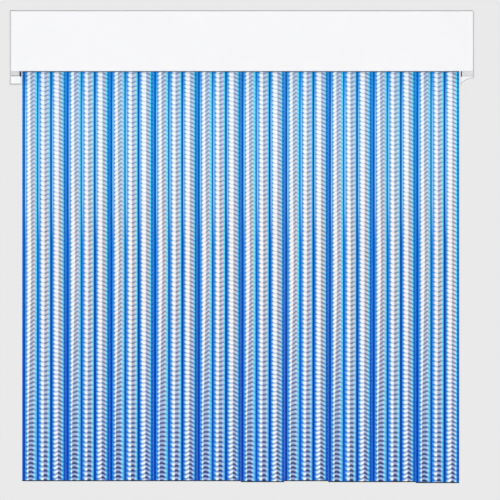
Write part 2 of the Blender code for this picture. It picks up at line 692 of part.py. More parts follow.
def strip(label, pivot, rivet_hole, trim_steps):
    """PVC strip of hollow cords, pressed to a flat tongue at its top."""
    shoulder = FORK_BOTTOM - FIT_GAP
    bottom = FASCIA_BOTTOM - STRIP_DROP - trim_steps * TRIM_STEP - ROD_Z
    outlines = [strip_outline()] + strip_hollows()
    mesh = outline_mesh(f"strip_{label}", outlines, shoulder - bottom, OUTLINE_ALONG_Z)
    smooth_rounds(mesh)
    middle = (0, 0, (shoulder + bottom) / 2)
    part = place_part(f"strip_{label}", mesh, "blue_strip_pvc", middle, pivot)
    half_width = HANGER_LENGTH / 2
    half_depth = TONGUE_THICKNESS / 2
    tongue_mesh = box_mesh(f"tongue_{label}", (-half_width, -half_depth, shoulder - TONGUE_ROOT),
                           (half_width, half_depth, SLOT_TOP - FIT_GAP))
    combine(part, place_cutter(f"tongue_{label}", tongue_mesh, (0, 0, 0), pivot), "UNION")
    combine(part, rivet_hole, "DIFFERENCE")


def hang_strip(number, rivet_mesh):
    """One strip with its hanger and rivet, parented to an empty on the rod's axis."""
    label = f"{number:02d}"
    x = strip_edge_x(number - 1) + STRIP_PITCH / 2
    pivot = bpy.data.objects.new(f"swing_axis_{label}", None)
    PARTS.objects.link(pivot)
    pivot.location = (x, ROD_Y, ROD_Z)
    rivet_at = (0, 0, SLOT_TOP - SLOT_DEPTH / 2)
    hole_radius = RIVET_RADIUS + FIT_GAP
    rivet_hole = front_hole(f"rivet_hole_{label}", hole_radius, rivet_at, 2 * FORK_HALF, pivot)
    hanger(label, pivot, rivet_hole)
    trim_steps = TRIM_STEP_COUNTS[(number - 1) % len(TRIM_STEP_COUNTS)]
    strip(label, pivot, rivet_hole, trim_steps)
    rivet = place_part(f"rivet_{label}", rivet_mesh, "zinc_steel", rivet_at, pivot)
    turn_part(rivet, SMALL_SIDES, TURNED_TO_FRONT)


def build_head():
    """Everything that stays on the wall, and the cover that pulls off it."""
    corner_cutter = top_corner_cutter()
    fascia_cover(corner_cutter)
    wall_rail()
    cut_foot_pockets(end_bracket(LEFT_END), LEFT_END)
    combine(end_bracket(RIGHT_END), corner_cutter, "DIFFERENCE")
    swing_rod()
    rod_bush(LEFT_END)
    rod_bush(RIGHT_END)
    for name, strips in zip(HOOK_NAMES, HOOK_AFTER_STRIPS):
        rod_hook(name, strip_edge_x(strips))
    rail_screws()
    for index, share in enumerate(CLIP_SPAN_SHARES):
        cover_clip(f"cover_clip_{index + 1}", share * HEAD_WIDTH)


def build_rings():
    """Spacers between the hangers, and a collar outside each end one."""
    open_gaps = [gap for gap in range(1, STRIP_COUNT) if gap not in HOOK_AFTER_STRIPS]
    for index, gap in enumerate(open_gaps):
        rod_ring(f"spacer_{index + 1}", strip_edge_x(gap), SPACER_WALL, BETWEEN_HANGERS)
    inset = HANGER_SPACING / 2 - FIT_GAP - COLLAR_LENGTH / 2
    rod_ring("rod_collar_left", strip_edge_x(0) + inset, COLLAR_WALL, COLLAR_LENGTH)
    rod_ring("rod_collar_right", strip_edge_x(STRIP_COUNT) - inset, COLLAR_WALL, COLLAR_LENGTH)


def build_strips():
    rivet_mesh = rivet_section()
    for number in range(1, STRIP_COUNT + 1):
        hang_strip(number, rivet_mesh)


build_head()
build_rings()
build_strips()
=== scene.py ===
"""Looks of the PVC door curtain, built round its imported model.

Metres, in the model's own frame: +X to the right, -Y to the front, +Z up.
"""
import math
from collections import namedtuple

import bmesh
import bpy
import numpy as np
from bpy.props import FloatProperty, FloatVectorProperty, IntProperty, PointerProperty
from mathutils import Matrix, Vector


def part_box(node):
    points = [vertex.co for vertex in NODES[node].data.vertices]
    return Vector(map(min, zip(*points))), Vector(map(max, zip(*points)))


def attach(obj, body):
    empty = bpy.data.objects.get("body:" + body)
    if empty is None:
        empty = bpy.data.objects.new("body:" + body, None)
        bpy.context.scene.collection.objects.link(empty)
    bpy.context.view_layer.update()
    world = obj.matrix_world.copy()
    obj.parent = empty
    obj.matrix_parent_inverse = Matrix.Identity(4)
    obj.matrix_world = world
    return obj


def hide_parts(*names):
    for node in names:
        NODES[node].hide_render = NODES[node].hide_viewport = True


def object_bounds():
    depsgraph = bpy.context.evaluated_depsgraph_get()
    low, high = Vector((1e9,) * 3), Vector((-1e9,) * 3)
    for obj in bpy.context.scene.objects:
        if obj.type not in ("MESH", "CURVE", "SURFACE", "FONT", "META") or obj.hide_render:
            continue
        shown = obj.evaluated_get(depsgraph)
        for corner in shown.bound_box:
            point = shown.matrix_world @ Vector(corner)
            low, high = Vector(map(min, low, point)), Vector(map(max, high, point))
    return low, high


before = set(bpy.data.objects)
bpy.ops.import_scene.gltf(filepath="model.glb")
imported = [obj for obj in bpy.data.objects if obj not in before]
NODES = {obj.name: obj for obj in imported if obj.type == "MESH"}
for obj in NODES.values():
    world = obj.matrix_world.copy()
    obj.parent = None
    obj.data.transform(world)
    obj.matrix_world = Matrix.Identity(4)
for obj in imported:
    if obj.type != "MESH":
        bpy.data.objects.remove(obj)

bl_info = {
    "name": "PVC door curtain",
    "version": (1, 0, 0),
    "blender": (4, 5, 0),
    "location": "3D View > Sidebar > Door curtain",
    "description": "Builds the looks of a boxed door curtain of twisted-cord PVC strips",
    "category": "Object",
}

MM = 0.001
MODEL_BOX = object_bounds()
FRONT_Y = MODEL_BOX[0].y
STRIP_LABELS = sorted(name[-2:] for name in NODES if name.startswith("strip_"))
WELD_DISTANCE = 0.01 * MM
QUARTER = math.pi / 2
TO_RIGHT = Matrix.Rotation(QUARTER, 4, "Y")
TO_LEFT = Matrix.Rotation(-QUARTER, 4, "Y")
TO_FRONT = Matrix.Rotation(QUARTER, 4, "X")


def length_setting(name, description, value):
    """A length in metres."""
    return FloatProperty(name=name, description=description, default=value,
                         unit="LENGTH", subtype="DISTANCE")


def number_setting(name, description, value):
    """A plain number, such as a share, a strength or a power."""
    return FloatProperty(name=name, description=description, default=value)


def colour_setting(name, description, *parts):
    """An opaque colour, from its red, green and blue."""
    return FloatVectorProperty(name=name, description=description, default=(*parts, 1),
                               subtype="COLOR", size=4)


class StripSettings(bpy.types.PropertyGroup):
    """Section, twist and colours of the PVC strips."""
    cord_width: length_setting("Cord width", "Width of one flattened cord", 21.5 * MM)
    cord_depth: length_setting("Cord depth", "Depth of one cord, front to back", 12 * MM)
    cord_wall: length_setting("Cord wall", "Wall round the hollow of a cord", 1.1 * MM)
    web_width: length_setting("Web width", "Flat web between two cords", 6.3 * MM)
    web_thickness: length_setting("Web thickness", "Thickness of the webs and rims", 2.4 * MM)
    left_rim: length_setting("Left rim", "Flat rim left of the first cord", 7.15 * MM)
    crest_height: length_setting("Crest height", "How far the ridges stand out", 0.35 * MM)
    groove_depth: length_setting("Groove depth", "How far the grooves cut in", 0.8 * MM)
    top_pitches: FloatVectorProperty(
        name="Ridge pitches at the top", size=3, unit="LENGTH",
        description="Height of one ridge of each cord under the pelmet",
        default=(8.45 * MM, 9.15 * MM, 8.4 * MM))
    bottom_pitches: FloatVectorProperty(
        name="Ridge pitches at the bottom", size=3, unit="LENGTH",
        description="Height of one ridge of each cord at the lower end",
        default=(9.1 * MM, 9.9 * MM, 9.03 * MM))
    rib_groove: length_setting(
        "Web groove", "Depth of the groove along each web and rim", 0.5 * MM)
    pressed_length: length_setting(
        "Pressed length", "Over which the cords are pressed flat at the top", 16 * MM)
    pressed_thickness: length_setting(
        "Pressed thickness", "Thickness of the pressed top", 3 * MM)
    tongue_edge: length_setting("Tongue edge", "Rounding of the top's tongue", 0.4 * MM)
    shoulder_gap: length_setting(
        "Shoulder gap", "From a hanger down to the strip's full width", 0.3 * MM)
    edge_stretch: length_setting(
        "Edge stretch", "How far each soft edge reaches past its solid", 0.45 * MM)
    cord_steps: IntProperty(
        name="Cord steps", description="Faces across the front of a cord", default=10)
    # The tones across a cord are partly its own colours and partly painted light: white is a
    # painted highlight on the lit side, lilac and mauve are partly painted shade, and cyan is
    # painted light at the right edge.
    white: colour_setting("White", "Crests on the lit side of a cord", 0.95, 0.965, 0.965)
    cream: colour_setting("Cream", "White at half height", 0.95, 0.925, 0.915)
    pearl: colour_setting(
        "Pearl", "Grooves on the lit side, and crests beside the right flank", 0.69, 0.755, 0.87)
    chalk: colour_setting("Chalk", "Pearl at half height", 0.76, 0.77, 0.82)
    glint: colour_setting("Glint", "Light caught beside a cord's left foot", 0.42, 0.80, 1.0)
    lilac: colour_setting("Lilac", "Crests over the hollow of a cord", 0.47, 0.58, 0.75)
    stone: colour_setting("Stone", "Lilac at half height", 0.55, 0.555, 0.645)
    # Dusk and ink are darker tones near the lower end, painted shade.
    dusk: colour_setting(
        "Dusk", "Crests over the hollow, and lit grooves, near the lower end", 0.30, 0.39, 0.68)
    mauve: colour_setting("Mauve", "Grooves over the hollow of a cord", 0.20, 0.28, 0.44)
    slate: colour_setting("Slate", "Mauve at half height", 0.235, 0.23, 0.29)
    ink: colour_setting("Ink", "Mauve near the lower end", 0.02, 0.028, 0.12)
    pale: colour_setting("Pale blue", "Between white and a flank's blue", 0.48, 0.72, 0.96)
    mist: colour_setting("Mist", "Pale blue at half height", 0.54, 0.67, 0.83)
    sky: colour_setting("Sky blue", "Where a cord rises from its left web", 0.13, 0.42, 0.86)
    harbour: colour_setting("Harbour blue", "Sky blue at half height", 0.10, 0.32, 0.70)
    # Cyan is painted light, coming through a cord and out at its right edge.
    cyan: colour_setting("Cyan", "Where a cord falls to its right web", 0.15, 0.92, 1.0)
    # Azure lines are painted highlights on the webs and rims, and navy is painted shade in their
    # grooves and along their dark lines.
    azure: colour_setting("Azure", "Pale lines along the webs and rims", 0.03, 0.36, 0.92)
    blue: colour_setting("Blue", "Webs and rims under the pelmet", 0.0, 0.29, 0.82)
    # Deep blue darkens the webs and rims lower down, painted shade.
    deep_blue: colour_setting("Deep blue", "Webs and rims lower down", 0.0, 0.095, 0.64)
    navy: colour_setting("Navy", "In the grooves of the webs and rims", 0.0, 0.03, 0.24)
    # A near-black for the dark band at the cut lower end, and for the painted shadow line under the
    # pelmet's hem.
    dark_edge_and_hem_shadow: colour_setting(
        "Soot", "Cut lower edge, and the rubbed line under the pelmet", 0.02, 0.03, 0.035)


class HeadSettings(bpy.types.PropertyGroup):
    """Finish of the pelmet and the hardware in it."""
    cover_edge: length_setting("Cover edge", "Rounding of the cover's edges", 1.4 * MM)
    plastic_edge: length_setting("Plastic edge", "Rounding of the brackets' edges", 0.6 * MM)
    swept_edge: length_setting(
        "Swept edge", "Rounding of the swept foot's lower front edge", 1.5 * MM)
    metal_edge: length_setting("Metal edge", "Rounding of the cut metal edges", 0.25 * MM)
    rod_chamfer: length_setting("Rod chamfer", "Chamfer of the rod's ends", 0.5 * MM)
    ring_chamfer: length_setting("Ring chamfer", "Chamfer of the rings on the rod", 0.35 * MM)
    ring_gap: length_setting("Ring gap", "Between the rod and the rings on it", 0.3 * MM)
    flange_width: length_setting("Flange width", "How far a bush's flange stands out", 2 * MM)
    flange_thickness: length_setting(
        "Flange thickness", "Thickness of a bush's flange", 1.5 * MM)
    shank_radius: length_setting("Shank radius", "Radius of the screws' and rivets' shanks", 2 * MM)
    screw_head_height: length_setting("Screw head height", "Height of the screws' heads", 2.4 * MM)
    rivet_head_height: length_setting(
        "Rivet head height", "Height of the rivets' heads", 1.4 * MM)
    # Bands of painted shade along the head's lowest edge and its two ends
    outline_width: length_setting(
        "Outline width", "Duller band along the lowest edge of the head", 2.1 * MM)
    end_edge_shade_width: length_setting(
        "End outline width", "Duller band along the two ends of the head", 2.7 * MM)
    recess_depth: length_setting(
        "Recess depth", "From the head's front to the feet's recesses", 6 * MM)
    # Shares of the white left where shade is painted: on the outer edges, in the feet's recesses
    # and behind the slots
    painted_edge_shade: number_setting(
        "Outline tone", "Share of the white left on the outer edges", 0.58)
    painted_recess_shade: number_setting(
        "Recess tone", "Share of the white left in the feet's recesses", 0.80)
    painted_slot_shade: number_setting(
        "Slot tone", "Share of the white left behind the slots beside the feet", 0.06)
    white_colour: colour_setting("White", "PVC of the cover and the brackets", 0.90, 0.901, 0.918)
    nylon_colour: colour_setting("Nylon", "Grey nylon of the rings and bushes", 0.26, 0.27, 0.29)
    aluminium_colour: colour_setting(
        "Aluminium", "Mill finish of the rail and the hangers", 0.74, 0.75, 0.77)
    steel_colour: colour_setting("Steel", "Drawn steel of the rod", 0.60, 0.61, 0.63)
    rivet_colour: colour_setting("Rivet steel", "Zinc plate on the rivets", 0.56, 0.58, 0.62)


class StageSettings(bpy.types.PropertyGroup):
    """Camera, lights and floor."""
    picture_width: length_setting(
        "Picture width", "Width of the picture at the pelmet's front", 1.0280)
    camera_distance: length_setting(
        "Camera distance", "From the pelmet's front to the camera", 40)
    aim_x: length_setting("Aim X", "X at the middle of the picture", 0.0166)
    aim_z: length_setting("Aim Z", "Z at the middle of the picture", -0.4305)
    lamp_distance: length_setting("Lamp distance", "From the curtain to each lamp", 10)
    floor_drop: length_setting("Floor drop", "From the strips' lower ends to the floor", 1.2)
    floor_width: length_setting("Floor width", "Width of the floor", 24)
    key_power: number_setting("Key power", "Power of the wide soft lamp in front", 492)
    sheen_power: number_setting(
        "Sheen power", "Power of the narrow lamp that shows the gloss", 38)
    back_power: number_setting("Back power", "Power of the wide soft lamp behind", 320)
    side_power: number_setting("Side power", "Power of the soft lamp at each side", 400)
    top_power: number_setting("Top power", "Power of the soft lamp above and behind", 260)
    sky_strength: number_setting("Fill", "Strength of the even light from all round", 0.35)
    backdrop_grey: number_setting("Backdrop grey", "How light the background shows", 0.82)
    floor_grey: number_setting("Floor grey", "How light the floor's own colour is", 0.80)
    floor_glow: number_setting("Floor glow", "Share of the backdrop's grey in the floor", 0.75)


class NodeBox:
    """The box round one of the model's nodes at rest."""

    def __init__(self, node):
        self.low, self.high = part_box(node)
        self.middle = (self.low + self.high) / 2
        self.width = self.high.x - self.low.x
        self.depth = self.high.y - self.low.y
        self.height = self.high.z - self.low.z


def add_piece(node, ending, mesh, body, material, place=(0, 0, 0)):
    """Show a mesh in a node's stead, as a piece that rides on the node's body."""
    piece = bpy.data.objects.new(f"{node}_{ending}", mesh)
    bpy.context.scene.collection.objects.link(piece)
    piece.location = place
    if not mesh.materials:
        mesh.materials.append(material)
    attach(piece, body)
    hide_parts(node)
    return piece


FLAT_ANGLE = math.radians(1)  # faces that turn less are joined up
BEND_ANGLE = math.radians(8)  # a face this far off every axis is part of a bend
EDGE_ANGLE = math.radians(30)  # edges that turn more are rounded
ROUNDED_ANGLE = math.radians(50)  # edges of a rounded shape that turn more stay sharp
EDGE_STEPS = 2
SWEPT_STEPS = 3
LOOKS_DOWN = -0.2  # upward part of a face's normal, below which it looks down


def finish_mesh(work, name, sharp_angle=EDGE_ANGLE):
    """Write a bmesh out as a mesh that is smooth apart from its sharp edges."""
    bmesh.ops.recalc_face_normals(work, faces=work.faces)
    mesh = bpy.data.meshes.new(name)
    work.to_mesh(mesh)
    work.free()
    mesh.shade_smooth()
    mesh.set_sharp_from_angle(angle=sharp_angle)
    return mesh


def round_edges(work, edges, radius, steps):
    """Round some edges of a bmesh, and mark the new faces as its rim, where white plastic gets
    painted shade.
    """
    rim = work.faces.layers.float["rim"]
    for face in bmesh.ops.bevel(work, geom=edges, offset=radius, offset_type="OFFSET",
                                segments=steps, profile=0.5, affect="EDGES",
                                clamp_overlap=True)["faces"]:
        face[rim] = 1


def lower_front_edges(work):
    """The edges of a bmesh where the head's front plane meets faces that look down."""
    front = FRONT_Y + WELD_DISTANCE
    return [edge for edge in work.edges if all(vert.co.y < front for vert in edge.verts)
            and min(face.normal.z for face in edge.link_faces) < LOOKS_DOWN]


def refined_mesh(node, name, edge_radius, bends=False, swept_radius=0):
    """A node's shape with its flat faces joined up and its edges rounded and marked."""
    work = bmesh.new()
    work.from_mesh(NODES[node].data)
    rim = work.faces.layers.float.new("rim")
    bmesh.ops.remove_doubles(work, verts=work.verts, dist=WELD_DISTANCE)
    bmesh.ops.dissolve_limit(work, angle_limit=FLAT_ANGLE, verts=work.verts, edges=work.edges)
    if swept_radius:
        round_edges(work, lower_front_edges(work), swept_radius, SWEPT_STEPS)
    sharp = [edge for edge in work.edges if edge.calc_face_angle(0) > EDGE_ANGLE]
    round_edges(work, sharp, edge_radius, EDGE_STEPS)
    # The cover's bends in its upper half are marked as rim too, for painted shade
    for face in work.faces if bends else ():
        straightness = max(abs(part) for part in face.normal)
        if face.calc_center_median().z > 0 and straightness < math.cos(BEND_ANGLE):
            face[rim] = 1
    return finish_mesh(work, name, ROUNDED_ANGLE)


def even_shading(piece):
    """Keep the flat faces of a piece flat beside its rounded edges."""
    modifier = piece.modifiers.new("even shading", "WEIGHTED_NORMAL")
    modifier.keep_sharp = True


def show_refined(node, ending, slot, material, edge_radius, body="head", **shape):
    """Show a node's refined shape in its stead, with flat faces kept flat: its mesh."""
    mesh = refined_mesh(node, f"{node}_{ending}", edge_radius, **shape)
    piece = add_piece(node, ending, mesh, body, material)
    even_shading(piece)
    return mesh


def turned_mesh(name, profile, turn, closed=False, sides=48):
    """Spin a half section of (radius, along) points round its own height, then turn it."""
    work = bmesh.new()
    points = [work.verts.new((radius, 0, along)) for radius, along in profile]
    pairs = list(zip(points, points[1:]))
    if closed:
        pairs.append((points[-1], points[0]))
    edges = [work.edges.new(pair) for pair in pairs]
    bmesh.ops.spin(work, geom=points + edges, cent=(0, 0, 0), axis=(0, 0, 1),
                   angle=math.tau, steps=sides, use_merge=True)
    bmesh.ops.remove_doubles(work, verts=work.verts, dist=WELD_DISTANCE)
    bmesh.ops.transform(work, matrix=turn, verts=work.verts)
    return finish_mesh(work, name)


def quarter_arc(start, end, steps=8):
    """Points on a round of radius 1 between two angles, both ends included."""
    turns = [start + (end - start) * step / steps for step in range(steps + 1)]
    return [(math.cos(turn), math.sin(turn)) for turn in turns]


def chamfered(corners, chamfer):
    """A half section of level and upright sides, cut off at each corner clear of the axis."""
    corners = np.array(corners)
    points = []
    for before, corner, after in zip(np.roll(corners, 1, 0), corners, np.roll(corners, -1, 0)):
        if corner[0]:
            points += [corner + chamfer * np.sign(before - corner),
                       corner + chamfer * np.sign(after - corner)]
        else:
            points.append(corner)
    return points


NODE_SPACING = 220
NOISE_RANGE = (0.3, 0.7)


class ShaderTree:
    """Short ways to add and link the nodes of a material or a node group."""

    def __init__(self, tree):
        self.tree = tree
        self.column = 0

    def add(self, kind, **values):
        node = self.tree.nodes.new(kind)
        node.location = (-NODE_SPACING * self.column, 0)
        self.column += 1
        for key, value in values.items():
            setattr(node, key, value)
        return node

    def link(self, output, socket):
        self.tree.links.new(output, socket)

    def fill(self, sockets, values):
        """Link the values that come from other nodes, and set the others as they are."""
        for socket, value in zip(sockets, values):
            if isinstance(value, bpy.types.NodeSocket):
                self.link(value, socket)
            else:
                socket.default_value = value

    def spread(self, value, low, high, to_low=0.0, to_high=1.0):
        node = self.add("ShaderNodeMapRange")
        self.fill(node.inputs, (value, low, high, to_low, to_high))
        return node.outputs["Result"]

    def maths(self, operation, first, second=0.0):
        node = self.add("ShaderNodeMath", operation=operation)
        self.fill(node.inputs, (first, second))
        return node.outputs["Value"]

    def distance(self, value, place):
        return self.maths("ABSOLUTE", self.maths("SUBTRACT", value, place))

    def mix(self, factor, first, second):
        node = self.add("ShaderNodeMix", data_type="RGBA")
        self.fill((node.inputs[0], node.inputs[6], node.inputs[7]), (factor, first, second))
        return node.outputs[2]

    def attribute(self, name):
        return self.add("ShaderNodeAttribute", attribute_name=name).outputs["Fac"]

    def place(self):
        return self.add("ShaderNodeTexCoord").outputs["Object"]

    def noise(self, place, scale, detail=2.0):
        """Noise stretched to fill 0 to 1."""
        node = self.add("ShaderNodeTexNoise")
        sockets = [node.inputs[label] for label in ("Vector", "Scale", "Detail")]
        self.fill(sockets, (place, scale, detail))
        return self.spread(node.outputs["Fac"], *NOISE_RANGE)

    def effect(self, name, **values):
        """Place a shared effect with its own values."""
        node = self.add("ShaderNodeGroup", node_tree=shared_group(name))
        for label, value in values.items():
            node.inputs[label.replace("_", " ")].default_value = value
        return node.outputs


def cloud_and_grain(shader, given, result):
    """Cloudy variation and a fine grain, both from 0 to 1."""
    place = shader.place()
    for label, detail in (("Cloud", 3.0), ("Grain", 2.0)):
        shader.link(shader.noise(place, given[f"{label} scale"], detail), result[label])


def head_edges(shader, given, result):
    """1 within the bands along the head's two ends and its lowest edge, else 0."""
    parts = shader.add("ShaderNodeSeparateXYZ")
    shader.link(shader.place(), parts.inputs["Vector"])
    along = shader.maths("ABSOLUTE", parts.outputs["X"])
    from_end = shader.maths("SUBTRACT", given["End"], along)
    from_lowest = shader.maths("SUBTRACT", parts.outputs["Z"], given["Lowest"])
    at_end = shader.maths("LESS_THAN", from_end, given["End band"])
    at_lowest = shader.maths("LESS_THAN", from_lowest, given["Lowest band"])
    shader.link(shader.maths("MAXIMUM", at_end, at_lowest), result["Edge"])


def drawn_lines(shader, given, result):
    """Fine lines and wider bands along X, as a drawn piece has, both from 0 to 1."""
    parts = shader.add("ShaderNodeSeparateXYZ")
    shader.link(shader.place(), parts.inputs["Vector"])
    stretched = shader.add("ShaderNodeCombineXYZ")
    along = shader.maths("MULTIPLY", parts.outputs["X"], given["Stretch"])
    shader.fill(stretched.inputs, (along, parts.outputs["Y"], parts.outputs["Z"]))
    for label, share in (("Lines", 1.0), ("Bands", 0.12)):
        scale = shader.maths("MULTIPLY", given["Line scale"], share)
        shader.link(shader.noise(stretched.outputs["Vector"], scale), result[label])


SHARED_EFFECTS = {
    "cloud_and_grain": (cloud_and_grain, {"Cloud scale": 20.0, "Grain scale": 900.0},
                        ("Cloud", "Grain")),
    "head_edges": (head_edges, {"End": 0.5, "End band": 0.003, "Lowest": -0.1,
                                "Lowest band": 0.002}, ("Edge",)),
    "drawn_lines": (drawn_lines, {"Line scale": 900.0, "Stretch": 0.01}, ("Lines", "Bands")),
}


def shared_group(name):
    """The node group of a shared effect, built when it is first asked for."""
    if name not in bpy.data.node_groups:
        build, inputs, outputs = SHARED_EFFECTS[name]
        group = bpy.data.node_groups.new(name, "ShaderNodeTree")
        for label, value in inputs.items():
            socket = group.interface.new_socket(label, in_out="INPUT",
                                                socket_type="NodeSocketFloat")
            socket.default_value = value
        for label in outputs:
            group.interface.new_socket(label, in_out="OUTPUT", socket_type="NodeSocketFloat")
        shader = ShaderTree(group)
        build(shader, shader.add("NodeGroupInput").outputs, shader.add("NodeGroupOutput").inputs)
    return bpy.data.node_groups[name]


def new_material(name, roughness, metallic=0.0):
    """A material whose Principled shader has its constant values set."""
    material = bpy.data.materials.new(name)
    material.use_nodes = True
    principled = material.node_tree.nodes["Principled BSDF"]
    principled.inputs["Roughness"].default_value = roughness
    principled.inputs["Metallic"].default_value = metallic
    return material, ShaderTree(material.node_tree), principled


# Shares of a finish's roughness in its smoothest and roughest patches
PLASTIC_SPREAD = (0.9, 1.15)
DRAWN_SPREAD = (0.85, 1.3)
PLATED_SPREAD = (0.85, 1.2)
# Shares of a metal's colour in its darker and lighter parts
BAND_TONES = (0.86, 1.06)
PATCH_TONES = (0.82, 1.15)
DULL_TONE, DULL_STRENGTH = 0.8, 0.35


def link_finish(shader, principled, tone, patches, roughness, relief, strength, depth):
    """Link a colour, a roughness that follows the patches, and a fine relief."""
    shader.link(tone, principled.inputs["Base Color"])
    shader.link(shader.spread(patches, 0, 1, *roughness), principled.inputs["Roughness"])
    bump = shader.add("ShaderNodeBump")
    sockets = [bump.inputs[label] for label in ("Strength", "Distance", "Height")]
    shader.fill(sockets, (strength, depth, relief))
    shader.link(bump.outputs["Normal"], principled.inputs["Normal"])


def shaded(colour, share):
    """A colour made darker or lighter by a share."""
    return tuple(min(1, part * share) for part in colour[:3]) + (1,)


def spread_out(value, shares):
    """A value times each of some shares."""
    return [value * share for share in shares]


def plastic_material(name, colour, roughness, cloud, grain_scale, grain_depth):
    """Moulded or extruded plastic with a faint cloud and a fine grain."""
    material, shader, principled = new_material(name, roughness)
    mottle = shader.effect("cloud_and_grain", Cloud_scale=14.0, Grain_scale=grain_scale)
    tone = shader.mix(mottle["Cloud"], shaded(colour, 1 - cloud), colour)
    link_finish(shader, principled, tone, mottle["Cloud"], spread_out(roughness, PLASTIC_SPREAD),
                mottle["Grain"], strength=0.25, depth=grain_depth)
    return material


def white_material(settings, name, **finish):
    """White plastic, with painted shade on its edges, in the feet's recesses and behind their
    slots.
    """
    colour = settings.white_colour
    material = plastic_material(name, colour, **finish)
    shader = ShaderTree(material.node_tree)
    base = material.node_tree.nodes["Principled BSDF"].inputs["Base Color"]
    tone = base.links[0].from_socket
    edges = shader.effect("head_edges", End=MODEL_BOX[1].x, End_band=settings.end_edge_shade_width,
                          Lowest=NodeBox("end_bracket_left").low.z,
                          Lowest_band=settings.outline_width)
    # Painted shade on the outer edges, in the feet's recesses and behind the slots
    rim = shader.maths("MAXIMUM", edges["Edge"], shader.attribute("rim"))
    for mask, share in ((rim, settings.painted_edge_shade),
                        (shader.attribute("recess"), settings.painted_recess_shade),
                        (shader.attribute("behind"), settings.painted_slot_shade)):
        tone = shader.mix(mask, tone, shaded(colour, share))
    shader.link(tone, base)
    return material


def drawn_metal_material(name, colour, roughness, line_scale):
    """Extruded or drawn metal with lines along its length."""
    material, shader, principled = new_material(name, roughness, metallic=1.0)
    lines = shader.effect("drawn_lines", Line_scale=line_scale)
    mottle = shader.effect("cloud_and_grain", Cloud_scale=30.0, Grain_scale=1500.0)
    tone = shader.mix(lines["Bands"], *(shaded(colour, share) for share in BAND_TONES))
    dull = shader.maths("MULTIPLY", mottle["Cloud"], DULL_STRENGTH)
    tone = shader.mix(dull, tone, shaded(colour, DULL_TONE))
    link_finish(shader, principled, tone, lines["Lines"], spread_out(roughness, DRAWN_SPREAD),
                lines["Lines"], strength=0.3, depth=0.05 * MM)
    return material


def plated_material(name, colour, roughness):
    """Zinc-plated steel: small bright and dull patches over a fine grain."""
    material, shader, principled = new_material(name, roughness, metallic=1.0)
    mottle = shader.effect("cloud_and_grain", Cloud_scale=160.0, Grain_scale=2500.0)
    tone = shader.mix(mottle["Cloud"], *(shaded(colour, share) for share in PATCH_TONES))
    link_finish(shader, principled, tone, mottle["Cloud"], spread_out(roughness, PLATED_SPREAD),
                mottle["Grain"], strength=0.2, depth=0.03 * MM)
    return material


# Tones across a cord, each at its share of the width: crests and grooves, high up and low down.
# They are partly the cord's own colours and partly painted light: a white highlight on the lit
# side, shade in lilac and mauve away from it, cyan light coming through at the right edge, and
# painted shade in the grooves.
CREST_TONES = ((0.0, "sky"), (0.09, "sky"), (0.16, "pale"), (0.22, "white"), (0.46, "white"),
               (0.56, "lilac"), (0.72, "lilac"), (0.82, "pearl"), (0.91, "pale"),
               (0.965, "cyan"), (1.0, "cyan"))
GROOVE_TONES = ((0.0, "blue"), (0.14, "blue"), (0.20, "sky"), (0.27, "pearl"), (0.46, "pearl"),
                (0.56, "mauve"), (0.79, "mauve"), (0.88, "deep_blue"), (0.95, "blue"),
                (1.0, "deep_blue"))
LOW_CREST_TONES = ((0.0, "sky"), (0.06, "sky"), (0.16, "pale"), (0.25, "white"),
                   (0.44, "white"), (0.54, "dusk"), (0.76, "dusk"), (0.85, "pale"),
                   (0.94, "cyan"), (1.0, "sky"))
LOW_GROOVE_TONES = ((0.0, "deep_blue"), (0.12, "blue"), (0.20, "sky"), (0.29, "dusk"),
                    (0.42, "dusk"), (0.52, "ink"), (0.78, "ink"), (0.86, "deep_blue"),
                    (0.94, "blue"), (1.0, "deep_blue"))
GREYED_TONES = {"white": "cream", "pearl": "chalk", "lilac": "stone", "mauve": "slate",
                "pale": "mist", "sky": "harbour"}
# Heights over a strip's lower end, as shares of its length, where the tones darken towards the
# lower end as painted shade
LOW_TONES_FROM = 0.62
DEEP_BLUE_BELOW = 0.25
# How far from half height the greyed tones end, and how far they are full, as such shares
GREYED_REACH = (0.34, 0.1)
# Half the width of a groove's painted shade at the top and the lower end, in pitches, and the share
# of it that is full
GROOVE_WIDTHS = (0.25, 0.35)
GROOVE_CORE = 0.45
CLOUD_STRENGTH = 0.05
STRIP_ROUGHNESS = (0.29, 0.40)
STRIP_GLOSS = 0.12
# The glint's middle under the hem, and how far from there it ends and is full
GLINT_DROP, GLINT_REACH, GLINT_STRENGTH = 180 * MM, (170 * MM, 90 * MM), 0.62
# The painted shadow line's middle over the hem, and how far from there it ends and is full
HEM_SHADOW_RISE, HEM_SHADOW_REACH, HEM_SHADOW_STRENGTH = 0.8 * MM, (2.1 * MM, 1.3 * MM), 0.97
# Heights over the lower end at which the cut edge's tone ends and is full
CUT_EDGE_REACH = (2.6 * MM, 1.8 * MM)


def tone_ramp(shader, settings, position, tones):
    """Colour across a cord, from named tones at their shares of its width."""
    node = shader.add("ShaderNodeValToRGB")
    elements = node.color_ramp.elements
    for place, (share, tone) in enumerate(tones):
        element = elements[place] if place < 2 else elements.new(share)
        element.position = share
        element.color = getattr(settings, tone)
    shader.link(position, node.inputs["Fac"])
    return node.outputs["Color"]


